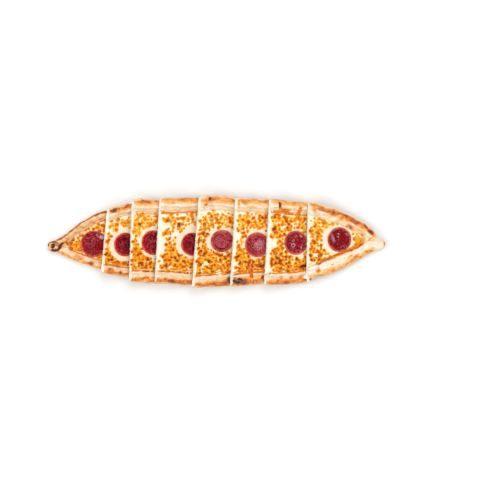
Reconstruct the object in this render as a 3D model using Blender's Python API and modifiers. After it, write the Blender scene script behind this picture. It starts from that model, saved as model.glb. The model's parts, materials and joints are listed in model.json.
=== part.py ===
"""A pide: a long flatbread boat with a folded rim, a cheese filling and a round of sucuk on every slice.

It is cut across into eight slices that lie like shingles: each slice's left edge rests on the rim of the
slice before it, and its right edge on the table. Run it in Blender 4.5.

Frame: metres, +X along the bread, +Y to its back rim, +Z up; the origin is under the middle, on the table.
A slice is modelled as a loft of cross-sections in slice coordinates (u, y, h): u runs from 0 at its left
cut to 1 at its right cut, y across the bread, h up from the slice's own underside.
"""

import math
from dataclasses import dataclass

import bmesh
import bpy

MM = 0.001

# The bread's cross-section
RIM_HEIGHT = 13.0 * MM
BASE_THICKNESS = 5.0 * MM
CHEESE_THICKNESS = 3.5 * MM
CHEESE_CROWN = 0.5 * MM
CREST_SHARE = 0.42  # the rim's highest line, as a share of the rim's width from its outer side
BELLY_HEIGHT = 5.5 * MM  # where the rim's outer side stands out furthest
FOOT_WIDTH = 4.0 * MM  # the rounded lower edge of the outer side
SEAM_FLOOR = 1.2 * MM  # width of the groove left where the two rims meet
SEAM_HEIGHT = 9.5 * MM  # and how high its bottom lies
SEAM_RUN = 14.0 * MM  # the trough rises to the seam over this much loss of width
NOSE_FULLNESS = 2.4  # 2 rounds the knob like an ellipse, more makes it blunter

# The rounds of sucuk
DISC_THICKNESS = 3.0 * MM
DISC_CUP = 0.9 * MM  # its middle lies this far under its edge
DISC_SINK = 1.4 * MM  # and its underside this far into the cheese

GAP = 0.35 * MM  # between solids that touch
SIDE_GAP = 0.6 * MM  # between the filling and the rims, whose sides run at a slant near the tips
CHEESE_END_WIDTH = 7.0 * MM  # the filling ends where the trough is this narrow

# Mesh fineness
MIDDLE_STATIONS = 7
END_STATIONS = 12
NOSE_STATIONS = 5
ARC_STEPS = 4
DISC_STEPS = 32
CONTACT_SAMPLES = 120


@dataclass
class Slice:
    """One slice. Lengths in metres; pairs are the values at its left and right cut, or at cut and neck."""

    left: float  # plan position of the left cut's lower edge on the long axis
    right: float
    skew: tuple  # how far each cut leans along +X per metre towards the back rim
    back: tuple  # y of the back rim's outer side
    front: tuple  # y of the front rim's outer side
    rims: tuple  # width of the back rim and of the front rim
    disc: tuple  # plan x, y and radius of its round of sucuk
    back_swell: tuple = (0.0, 0.5)  # how far the back rim swells out, and at which share of the slice
    front_swell: tuple = (0.0, 0.5)
    front_rim_swell: tuple = (0.0, 0.5)  # the same for the front rim's width
    sag: float = 0.3  # 0 lies like a board, 1 droops flat onto the table
    tip: str = ""  # the side that ends in a pinched tip, left or right
    back_taper: tuple = (1.0, 1.0)  # exponents of the outline from cut to neck
    front_taper: tuple = (1.0, 1.0)
    nose: float = 0.0  # length of the rounded knob past the neck
    lift: float = 0.0  # height of the left cut's lower edge, worked out below


def mm(*values):
    return tuple(value * MM for value in values)


SLICES = [
    Slice(
        left=-245.6 * MM, right=-154.4 * MM, skew=(0.0, 0.095), back=mm(0.4, 46.0), front=mm(-15.0, -42.0),
        rims=mm(16.0, 12.5), disc=mm(-178.4, -3.7, 19.2), sag=0.0, tip="left", nose=11.0 * MM,
        back_taper=(1.9, 1.35), front_taper=(1.35, 1.0),
    ),
    Slice(
        left=-163.1 * MM, right=-115.3 * MM, skew=(0.095, 0.035), back=mm(46.9, 60.4), front=mm(-46.0, -54.5),
        rims=mm(19.0, 13.0), disc=mm(-132.7, -4.6, 17.1),
    ),
    Slice(
        left=-125.0 * MM, right=-68.9 * MM, skew=(0.035, 0.06), back=mm(60.6, 60.2), front=mm(-58.1, -60.8),
        rims=mm(20.0, 16.0), disc=mm(-92.1, -1.8, 17.8),
    ),
    Slice(
        left=-86.3 * MM, right=-13.8 * MM, skew=(0.06, 0.075), back=mm(62.5, 64.5), front=mm(-59.3, -64.2),
        rims=mm(20.0, 16.5), disc=mm(-35.5, -4.0, 16.5),
    ),
    Slice(
        left=-30.7 * MM, right=31.2 * MM, skew=(0.075, 0.06), back=mm(64.4, 62.9), front=mm(-67.1, -63.8),
        rims=mm(23.0, 17.0), disc=mm(9.1, 0.4, 16.2), back_swell=(3.2 * MM, 0.35),
    ),
    Slice(
        left=23.3 * MM, right=80.5 * MM, skew=(0.06, 0.06), back=mm(63.2, 60.6), front=mm(-64.7, -59.4),
        rims=mm(21.0, 16.5), disc=mm(59.2, -5.0, 17.9),
    ),
    Slice(
        left=72.5 * MM, right=137.0 * MM, skew=(0.06, 0.02), back=mm(61.9, 55.6), front=mm(-63.1, -58.2),
        rims=mm(18.0, 16.5), disc=mm(114.7, -2.0, 17.4), front_swell=(1.4 * MM, 0.5),
    ),
    Slice(
        left=131.1 * MM, right=245.6 * MM, skew=(0.02, 0.0), back=mm(58.2, 2.5), front=mm(-53.6, -11.5),
        rims=mm(21.0, 15.5), disc=mm(178.1, 2.4, 17.7), sag=0.9, tip="right", nose=9.0 * MM,
        back_taper=(1.15, 0.6), front_taper=(2.0, 1.45), front_rim_swell=(7.0 * MM, 0.35),
    ),
]


# ---- How a slice lies ----


def mix(a, b, share):
    return a + (b - a) * share


def smooth(share):
    share = min(max(share, 0.0), 1.0)
    return share * share * (3.0 - 2.0 * share)


def swelling(swell, u):
    """A smooth bump along the slice: nothing at its cuts, the whole amount at its peak."""
    amount, peak = swell
    return amount * math.sin(math.pi * u ** (math.log(0.5) / math.log(peak)))


def ground_height(piece, u):
    """Height of the slice's underside over the table."""
    return piece.lift * (1.0 - u) * (1.0 - piece.sag * u)


def tilt(piece, u):
    """Angle by which the slice falls towards +X here."""
    fall = piece.lift * (1.0 + piece.sag - 2.0 * piece.sag * u)
    return math.atan2(fall, piece.right - piece.left)


def place(piece, u, y, h):
    """World position of a point given in slice coordinates."""
    left = piece.left + piece.skew[0] * y
    right = piece.right + piece.skew[1] * y
    angle = tilt(piece, u)
    return (mix(left, right, u) + h * math.sin(angle), y, ground_height(piece, u) + h * math.cos(angle))


def rest_on(piece, below):
    """Raises the slice's left edge until its underside just clears the rim of the slice below it."""
    for step in range(CONTACT_SAMPLES + 1):
        x, _, z = place(below, step / CONTACT_SAMPLES, 0.0, RIM_HEIGHT)
        u = (x - piece.left) / (piece.right - piece.left)
        if u >= 0.0:
            piece.lift = max(piece.lift, (z + GAP) / ((1.0 - u) * (1.0 - piece.sag * u)))


# ---- The outline and the cross-section ----


def tapered(ends, tip, exponents, run):
    """One rim's outer side between the cut, where run is 0, and the neck of the knob, where it is 1."""
    cut, neck = ends if tip == "right" else ends[::-1]
    return neck + (cut - neck) * (1.0 - run ** exponents[0]) ** exponents[1]


def outline(piece, u):
    """The rims' outer sides here, back and front, and the scale of the knob's rounding."""
    if not piece.tip:
        back = mix(*piece.back, u) + swelling(piece.back_swell, u)
        return back, mix(*piece.front, u) - swelling(piece.front_swell, u), 1.0
    neck = 1.0 - piece.nose / (piece.right - piece.left)
    from_cut = u if piece.tip == "right" else 1.0 - u
    run = min(from_cut / neck, 1.0)
    back = tapered(piece.back, piece.tip, piece.back_taper, run)
    front = tapered(piece.front, piece.tip, piece.front_taper, run)
    past_neck = max(from_cut - neck, 0.0) / (1.0 - neck)
    return back, front, max(1.0 - past_neck**NOSE_FULLNESS, 0.0) ** (1.0 / NOSE_FULLNESS)


def rims_here(piece, u):
    """Outer sides, rim widths and height of the trough's floor. Where the rims meet they share the width."""
    back, front, scale = outline(piece, u)
    back_rim = piece.rims[0]
    front_rim = piece.rims[1] + swelling(piece.front_rim_swell, u)
    room = back - front
    floor = mix(BASE_THICKNESS, SEAM_HEIGHT, smooth((back_rim + front_rim + SEAM_RUN - room) / SEAM_RUN))
    squeeze = min((room - SEAM_FLOOR) / (back_rim + front_rim), 1.0)
    return back, front, back_rim * squeeze, front_rim * squeeze, floor, scale


def inner_side(edge, inward, rim, floor, angle):
    """A point on the rim's inner side: angle is 0 on its crest and a quarter turn at the floor."""
    run = rim * (CREST_SHARE + (1.0 - CREST_SHARE) * math.sin(angle))
    return edge + inward * run, floor + (RIM_HEIGHT - floor) * math.cos(angle)


def rim_profile(edge, inward, rim, floor):
    """Half of the cross-section, from the underside round the outside of the rim to the trough's floor."""
    points = []
    crest = rim * CREST_SHARE
    foot = min(FOOT_WIDTH, crest)
    for step in range(ARC_STEPS):
        angle = 0.5 * math.pi * step / ARC_STEPS
        points.append((edge + inward * foot * (1.0 - math.sin(angle)), BELLY_HEIGHT * (1.0 - math.cos(angle))))
    for step in range(ARC_STEPS):
        angle = 0.5 * math.pi * step / ARC_STEPS
        shoulder = (RIM_HEIGHT - BELLY_HEIGHT) * math.sin(angle)
        points.append((edge + inward * crest * (1.0 - math.cos(angle)), BELLY_HEIGHT + shoulder))
    for step in range(ARC_STEPS + 1):
        points.append(inner_side(edge, inward, rim, floor, 0.5 * math.pi * step / ARC_STEPS))
    return points


def dough_section(piece, u):
    back, front, back_rim, front_rim, floor, scale = rims_here(piece, u)
    far = rim_profile(back, -1.0, back_rim, floor)
    near = rim_profile(front, 1.0, front_rim, floor)
    middle = 0.5 * (back + front)
    belly = 0.45 * RIM_HEIGHT
    return [(middle + (y - middle) * scale, belly + (h - belly) * scale) for y, h in far + near[::-1]]


def cheese_section(piece, u):
    """The filling: it lies on the floor, follows the rims' inner sides and is crowned a little."""
    back, front, back_rim, front_rim, floor, _ = rims_here(piece, u)
    level = math.acos(CHEESE_THICKNESS / (RIM_HEIGHT - floor))
    points = []
    for edge, inward, rim in ((back, -1.0, back_rim), (front, 1.0, front_rim)):
        side = []
        for step in range(3):
            y, h = inner_side(edge, inward, rim, floor, mix(0.5 * math.pi, level, step / 2))
            side.append((y + inward * SIDE_GAP, h + (GAP if step == 0 else 0.0)))
        points += side if inward < 0.0 else side[::-1]
        if inward < 0.0:
            start = side[-1]
        else:
            end = side[-1]
    crown = [
        (mix(start[0], end[0], share), start[1] + CHEESE_CROWN * math.sin(math.pi * share))
        for share in (0.25, 0.5, 0.75)
    ]
    return points[:3] + crown + points[3:]


# ---- Meshes ----


def loft(name, piece, stations, section, material):
    """Skins a closed solid over the cross-sections at these stations, with a flat cap on each end."""
    shape = bmesh.new()
    rings = []
    for u in stations:
        rings.append([shape.verts.new(place(piece, u, y, h)) for y, h in section(piece, u)])
    count = len(rings[0])
    for ring, following in zip(rings, rings[1:]):
        for i in range(count):
            j = (i + 1) % count
            shape.faces.new((ring[i], ring[j], following[j], following[i]))
    shape.faces.new(rings[0][::-1])
    shape.faces.new(rings[-1])
    bmesh.ops.recalc_face_normals(shape, faces=shape.faces)
    mesh = bpy.data.meshes.new(name)
    shape.to_mesh(mesh)
    shape.free()
    mesh.materials.append(material)
    mesh.shade_smooth()
    mesh.set_sharp_from_angle(angle=math.radians(50))
    return bpy.data.objects.new(name, mesh)


def trough_end(piece):
    """Where the trough of a slice with a tip has narrowed so far that the filling ends."""
    near, far = (0.0, 1.0) if piece.tip == "right" else (1.0, 0.0)
    for _ in range(20):
        middle = 0.5 * (near + far)
        back, front, back_rim, front_rim, _, _ = rims_here(piece, middle)
        if back - front - back_rim - front_rim > CHEESE_END_WIDTH:
            near = middle
        else:
            far = middle
    return near


def stations_of(piece):
    """Where the dough's cross-sections are: evenly spaced, with more of them round a knob."""
    if not piece.tip:
        return [step / (MIDDLE_STATIONS - 1) for step in range(MIDDLE_STATIONS)]
    neck = 1.0 - piece.nose / (piece.right - piece.left)
    from_cut = [neck * step / (END_STATIONS - 1) for step in range(END_STATIONS)]
    for step in range(1, NOSE_STATIONS + 1):
        from_cut.append(mix(neck, 1.0, math.sin(0.5 * math.pi * step / (NOSE_STATIONS + 0.35))))
    stations = from_cut if piece.tip == "right" else [1.0 - share for share in from_cut]
    return sorted(stations + [trough_end(piece)])


def cheese_stations(piece):
    """The dough's, as far as the trough holds any filling."""
    if piece.tip == "right":
        return [u for u in stations_of(piece) if u <= trough_end(piece)]
    if piece.tip == "left":
        return [u for u in stations_of(piece) if u >= trough_end(piece)]
    return stations_of(piece)


def disc_pose(piece):
    """Slice coordinate and tilt where the round of sucuk lies, from the plan position of its middle."""
    x, y, _ = piece.disc
    height = BASE_THICKNESS + CHEESE_THICKNESS
    left = piece.left + piece.skew[0] * y
    right = piece.right + piece.skew[1] * y
    u = (x - left) / (right - left)
    u = (x - height * math.sin(tilt(piece, u)) - left) / (right - left)
    return u, tilt(piece, u)


def lay(item, piece, h):
    """Puts a level object on the slice's surface, at the place of its round and at this height."""
    u, angle = disc_pose(piece)
    item.location = place(piece, u, piece.disc[1], h)
    item.rotation_euler = (0.0, angle, 0.0)


def disc_object(name, piece, material):
    """A cupped round with rolled edges, turned from its profile, which runs from its top to its underside."""
    radius = piece.disc[2]
    edge = 1.2 * MM
    profile = [(0.0, DISC_THICKNESS - DISC_CUP), (0.5 * radius, DISC_THICKNESS - 0.8 * DISC_CUP)]
    profile.append((radius - 3.0 * edge, DISC_THICKNESS - 0.25 * DISC_CUP))
    profile.append((radius - edge, DISC_THICKNESS))
    profile.append((radius, DISC_THICKNESS - edge))
    profile.append((radius, 0.6 * edge))
    profile.append((radius - 0.6 * edge, 0.0))
    profile.append((0.0, 0.0))
    mesh = bpy.data.meshes.new(name)
    mesh.from_pydata([(r, 0.0, z) for r, z in profile], [(i, i + 1) for i in range(len(profile) - 1)], [])
    mesh.materials.append(material)
    item = bpy.data.objects.new(name, mesh)
    turn = item.modifiers.new("turn", "SCREW")
    turn.steps = DISC_STEPS
    turn.render_steps = DISC_STEPS
    turn.use_merge_vertices = True
    turn.merge_threshold = 0.00001
    turn.use_smooth_shade = True
    lay(item, piece, BASE_THICKNESS + CHEESE_THICKNESS - DISC_SINK)
    return item


def disc_bed(name, piece):
    """The cutter for the hollow in the filling that the round lies in."""
    shape = bmesh.new()
    depth = 12.0 * MM
    wide = piece.disc[2] + GAP
    bmesh.ops.create_cone(shape, cap_ends=True, segments=DISC_STEPS, radius1=wide, radius2=wide, depth=depth)
    bmesh.ops.translate(shape, verts=shape.verts, vec=(0.0, 0.0, 0.5 * depth))
    mesh = bpy.data.meshes.new(name)
    shape.to_mesh(mesh)
    shape.free()
    item = bpy.data.objects.new(name, mesh)
    item.hide_render = True
    item.display_type = "WIRE"
    lay(item, piece, BASE_THICKNESS + CHEESE_THICKNESS - DISC_SINK - GAP)
    return item


def make_material(name, colour, roughness):
    material = bpy.data.materials.new(name)
    material.use_nodes = True
    shader = material.node_tree.nodes["Principled BSDF"]
    shader.inputs["Base Color"].default_value = (*colour, 1.0)
    shader.inputs["Roughness"].default_value = roughness
    shader.inputs["Metallic"].default_value = 0.0
    return material


def make_collection(name):
    collection = bpy.data.collections.new(name)
    bpy.context.scene.collection.children.link(collection)
    return collection


def make_slice(number, piece, parts, cutters, materials):
    dough, cheese, sucuk = materials
    parts.objects.link(loft(f"dough_{number}", piece, stations_of(piece), dough_section, dough))
    filling = loft(f"cheese_{number}", piece, cheese_stations(piece), cheese_section, cheese)
    bed = disc_bed(f"bed_{number}", piece)
    cut = filling.modifiers.new("bed", "BOOLEAN")
    cut.operation = "DIFFERENCE"
    cut.solver = "EXACT"
    cut.object = bed
    parts.objects.link(filling)
    cutters.objects.link(bed)
    parts.objects.link(disc_object(f"sucuk_{number}", piece, sucuk))


def main():
    for item in list(bpy.data.objects):
        bpy.data.objects.remove(item, do_unlink=True)
    for below, piece in zip(SLICES, SLICES[1:]):
        rest_on(piece, below)
    materials = (
        make_material("dough", (0.80, 0.55, 0.30), 0.75),
        make_material("cheese", (0.86, 0.60, 0.26), 0.45),
        make_material("sucuk", (0.26, 0.04, 0.04), 0.3),
    )
    parts = make_collection("pide")
    cutters = make_collection("cutters")
    for number, piece in enumerate(SLICES, start=1):
        make_slice(number, piece, parts, cutters, materials)


main()
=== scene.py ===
# %% [markdown]
# # A sliced pide, from its CAD model to its looks
#
# A pide is a long boat of bread with folded rims, melted cheese in the trough and a round of sucuk
# sausage on every slice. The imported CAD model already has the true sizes, so this lesson never moves
# or resizes anything: it loads that model as a frame and gives each slice a bread, a cheese and a
# sausage with the detail that an oven makes.

# %% Load the frame
import json
import math
from collections import namedtuple

import bpy
import numpy as np
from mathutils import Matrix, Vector
from mathutils.bvhtree import BVHTree
from mathutils.kdtree import KDTree

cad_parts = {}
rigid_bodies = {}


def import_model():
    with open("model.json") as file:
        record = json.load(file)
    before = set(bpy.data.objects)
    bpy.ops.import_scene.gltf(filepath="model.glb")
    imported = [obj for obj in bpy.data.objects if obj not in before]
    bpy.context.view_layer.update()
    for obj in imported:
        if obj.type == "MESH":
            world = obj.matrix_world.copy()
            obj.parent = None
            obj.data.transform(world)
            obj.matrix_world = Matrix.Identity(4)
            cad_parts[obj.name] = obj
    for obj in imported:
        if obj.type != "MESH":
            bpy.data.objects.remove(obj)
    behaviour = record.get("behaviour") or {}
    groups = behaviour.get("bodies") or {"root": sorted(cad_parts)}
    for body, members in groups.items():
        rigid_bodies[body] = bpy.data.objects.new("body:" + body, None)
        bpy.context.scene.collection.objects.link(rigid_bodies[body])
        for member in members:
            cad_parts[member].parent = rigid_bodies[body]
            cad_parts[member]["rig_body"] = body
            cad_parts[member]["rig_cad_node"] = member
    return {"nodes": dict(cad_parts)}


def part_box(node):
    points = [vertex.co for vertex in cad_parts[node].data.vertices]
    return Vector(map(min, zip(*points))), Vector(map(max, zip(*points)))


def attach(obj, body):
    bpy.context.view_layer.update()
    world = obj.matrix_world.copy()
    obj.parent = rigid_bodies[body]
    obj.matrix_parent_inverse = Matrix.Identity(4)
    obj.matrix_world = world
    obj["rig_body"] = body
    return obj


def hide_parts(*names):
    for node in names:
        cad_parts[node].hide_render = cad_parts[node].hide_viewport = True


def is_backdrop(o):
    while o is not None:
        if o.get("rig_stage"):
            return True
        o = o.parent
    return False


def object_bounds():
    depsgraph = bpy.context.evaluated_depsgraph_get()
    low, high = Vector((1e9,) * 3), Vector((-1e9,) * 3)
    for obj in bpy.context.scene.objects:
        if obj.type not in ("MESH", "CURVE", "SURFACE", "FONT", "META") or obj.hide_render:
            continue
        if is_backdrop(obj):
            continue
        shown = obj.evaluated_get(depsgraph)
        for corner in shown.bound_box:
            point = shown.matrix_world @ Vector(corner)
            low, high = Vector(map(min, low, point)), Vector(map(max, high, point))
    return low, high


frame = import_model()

MM = 0.001
NUMBERS = range(1, 9)
LEFT_TIP, RIGHT_TIP = NUMBERS[0], NUMBERS[-1]
cad_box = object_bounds()
print("CAD box in mm:", [[round(value / MM, 1) for value in corner] for corner in cad_box])

# %% [markdown]
# ## Camera, floor and light
#
# The pide is looked at from straight above with a long lens, so near and far rims show at one scale.
# A plain pale floor and a bright, soft studio light suit food: the broad lamp on the back side is the
# strongest and gives the relief its shape, three weaker ones and the white surroundings fill the
# shadows.

# %% Camera
CAMERA_HEIGHT = 3.0
VIEW_WIDTH = 0.696
VIEW_CENTRE = (0.0341, 0.0018)

bpy.ops.object.camera_add(location=(*VIEW_CENTRE, CAMERA_HEIGHT), rotation=(0.0, 0.0, 0.0))
camera = bpy.context.object
camera.data.lens = camera.data.sensor_width * (CAMERA_HEIGHT - 0.5 * cad_box[1].z) / VIEW_WIDTH
camera.data.clip_end = 20.0
bpy.context.scene.camera = camera
print(f"camera {CAMERA_HEIGHT} m up, lens {camera.data.lens:.0f} mm")

# %% Floor, lamps and surroundings
bpy.context.scene.view_settings.view_transform = "Standard"

bpy.ops.mesh.primitive_plane_add(size=8.0, location=(0.0, 0.0, 0.0))
floor = bpy.context.object
floor.name = "floor"
floor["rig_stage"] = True


def add_lamp(name, comes_from, spread, strength):
    """Even light over the whole table from one side; a wide spread in degrees gives soft shadows."""
    bpy.ops.object.light_add(type="SUN", location=comes_from)
    lamp = bpy.context.object
    lamp.name = name
    lamp.data.angle = math.radians(spread)
    lamp.data.energy = strength
    lamp.rotation_euler = (-Vector(comes_from)).to_track_quat("-Z", "Y").to_euler()
    return lamp


add_lamp("back_softbox", (0.5, 0.9, 1.8), 40.0, 1.06)
add_lamp("left_softbox", (-1.3, -0.3, 1.3), 30.0, 0.86)
add_lamp("front_softbox", (-0.1, -1.2, 1.6), 40.0, 0.48)
add_lamp("right_softbox", (1.0, -0.1, 1.5), 12.0, 0.3)

surroundings = bpy.data.worlds.new("white_room")
surroundings.use_nodes = True
surroundings.node_tree.nodes["Background"].inputs["Color"].default_value = (0.96, 0.98, 1.0, 1.0)
surroundings.node_tree.nodes["Background"].inputs["Strength"].default_value = 0.70
bpy.context.scene.world = surroundings
print("floor and lamps made")

# %% [markdown]
# ## Helpers
#
# Blender's operators act on whatever is selected, and the frame's nodes are selected after loading,
# so every step first picks the one object that it works on. Where a shape follows a formula, it is
# quicker to read all points of a mesh into an array, move them, and write them back.

# %% Selecting and modifiers
def pick(item):
    """Makes item the only selected object and the active one."""
    bpy.ops.object.select_all(action="DESELECT")
    item.select_set(True)
    bpy.context.view_layer.objects.active = item
    return item


def apply_modifier(item, kind, **settings):
    """Adds a modifier with these settings and applies it at once."""
    pick(item)
    bpy.ops.object.modifier_add(type=kind)
    modifier = item.modifiers[-1]
    for name, value in settings.items():
        setattr(modifier, name, value)
    bpy.ops.object.modifier_apply(modifier=modifier.name)

# %% Mesh arrays
def read_points(item, kind="co"):
    """The mesh's points, or their normals, as rows of x, y and z."""
    values = np.empty(3 * len(item.data.vertices), np.float32)
    item.data.vertices.foreach_get(kind, values)
    return values.reshape(-1, 3).astype(float)


def write_points(item, points):
    item.data.vertices.foreach_set("co", points.astype(np.float32).ravel())
    item.data.update()


def write_values(item, **layers):
    """Keeps a number for each point under a name that a material can read."""
    for name, values in layers.items():
        layer = item.data.attributes.new(name, "FLOAT", "POINT")
        layer.data.foreach_set("value", np.clip(values, 0.0, 1.0).astype(np.float32))

# %% Finishing a piece
def finish_piece(item, node, material):
    """Gives a piece its material, attaches it to the root body and hides the CAD node that it replaces."""
    item.data.materials.clear()
    item.data.materials.append(material)
    item.data.shade_smooth()
    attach(item, "root")
    if node:
        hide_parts(node)
    triangles = sum(len(face.vertices) - 2 for face in item.data.polygons)
    print(f"{item.name}: {triangles} triangles")

# %% Mixing and ramps
def mix(a, b, share):
    """From a to b, as share goes from 0 to 1."""
    return a + (b - a) * share


def ramp(start, end, values):
    """0 up to start, 1 from end on, and a smooth rise between; end may be the lower one."""
    share = np.clip((values - start) / (end - start), 0.0, 1.0)
    return share * share * (3.0 - 2.0 * share)


def bump(distance, width):
    """1 at no distance, falling smoothly to nothing at about twice the width."""
    return np.exp(-((distance / width) ** 2))

# %% [markdown]
# Nothing in food repeats, so most of its unevenness comes from noise: smooth random lumps of a
# chosen size. Blender has noise in its materials, but here the same lumps have to move points *and*
# colour them, so the noise is worked out once, for arrays of points. This is gradient noise: each
# corner of a lattice holds a random slope, and the slopes are blended between the corners.

# %% Noise for arrays of points
noise_source = np.random.default_rng(41)
lattice_order = noise_source.permutation(256)
lattice_slopes = noise_source.normal(size=(256, 3))
lattice_slopes /= np.linalg.norm(lattice_slopes, axis=1)[:, None]


def noise(points, lump, seed=0):
    """Smooth noise from about -1 to 1. lump is the size of its lumps, one number or one for each axis."""
    grid = points / np.asarray(lump) + 31.7 * seed + 7.3
    corner = np.floor(grid).astype(int)
    inside = grid - corner
    ease = inside**3 * (inside * (inside * 6.0 - 15.0) + 10.0)
    total = np.zeros(len(points))
    for step in np.ndindex(2, 2, 2):
        at = corner + step
        slot = lattice_order[at[:, 0] & 255]
        slot = lattice_order[(slot + at[:, 1]) & 255]
        slot = lattice_order[(slot + at[:, 2]) & 255]
        weight = np.prod(np.where(step, ease, 1.0 - ease), axis=1)
        total += weight * np.einsum("ij,ij->i", lattice_slopes[slot], inside - step)
    return 1.6 * total


def rough_noise(points, lump, seed=0):
    """Noise with two finer layers on it."""
    lump = np.asarray(lump)
    return (
        noise(points, lump, seed) + 0.5 * noise(points, 0.5 * lump, seed + 1)
        + 0.25 * noise(points, 0.25 * lump, seed + 2)
    ) / 1.4

# %% [markdown]
# ## Measuring the slices
#
# The slices lie like shingles, each with its left edge up on the one before, so every slice has its
# own tilt. All that follows is easier in the slice's own coordinates: `u` from its left cut to its
# right one, `y` across the bread and `h` up from its underside. The two cut planes and the underside
# are fitted to the CAD faces, and rays shot at the CAD solids find the outer sides, the folds and
# the edges of the filling, as a pair of callipers would.

# %% Cut planes and undersides
CUT_AREA = 400.0 * MM * MM  # a tip has less than this facing along the bread
BELLY = 5.5 * MM  # height where the rims stand out furthest
FOLD = 10.5 * MM  # height on a rim's inner side where the dough was folded over
FOLD_SHARE = 0.84  # where that is across the rim, from its outer side to the cheese
BEYOND = 90.0 * MM  # outside the bread on both sides
ABOVE = 30.0 * MM  # above the bread
SCAN_STEP = 0.4 * MM


def faces_of(node):
    """Centres, normals and areas of a CAD node's faces."""
    faces = frame["nodes"][node].data.polygons
    centres = np.empty(3 * len(faces), np.float32)
    normals = np.empty(3 * len(faces), np.float32)
    areas = np.empty(len(faces), np.float32)
    faces.foreach_get("center", centres)
    faces.foreach_get("normal", normals)
    faces.foreach_get("area", areas)
    return centres.reshape(-1, 3).astype(float), normals.reshape(-1, 3).astype(float), areas.astype(float)


def end_plane(node, side):
    """A point on the slice's left (side -1) or right (side 1) end plane, and its outward normal."""
    centres, normals, areas = faces_of(node)
    facing = normals[:, 0] * side > 0.85
    area = areas[facing].sum()
    if area < CUT_AREA:
        low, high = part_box(node)
        return np.array([low.x if side < 0 else high.x, 0.0, 0.0]), np.array([side, 0.0, 0.0])
    weights = areas[facing, None] / area
    normal = (normals[facing] * weights).sum(axis=0)
    return (centres[facing] * weights).sum(axis=0), normal / np.linalg.norm(normal)


def plane_x(plane, y, z):
    point, normal = plane
    return point[0] - (normal[1] * (y - point[1]) + normal[2] * (z - point[2])) / normal[0]


def fit_underside(node):
    """Height of the underside as a polynomial of x and y, without what curves up at a tip."""
    centres, normals, areas = faces_of(node)
    flat = (normals[:, 2] < -0.8) & (abs(normals[:, 1]) < 0.1)
    x, y, z = centres[flat].T
    terms = np.stack([np.ones_like(x), x, y, x * x, x * y], axis=1)
    weight = np.sqrt(areas[flat])
    for _ in range(4):
        fitted = np.linalg.lstsq(terms * weight[:, None], z * weight, rcond=None)[0]
        weight[abs(terms @ fitted - z) > 0.3 * MM] *= 0.05
    return fitted

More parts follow.
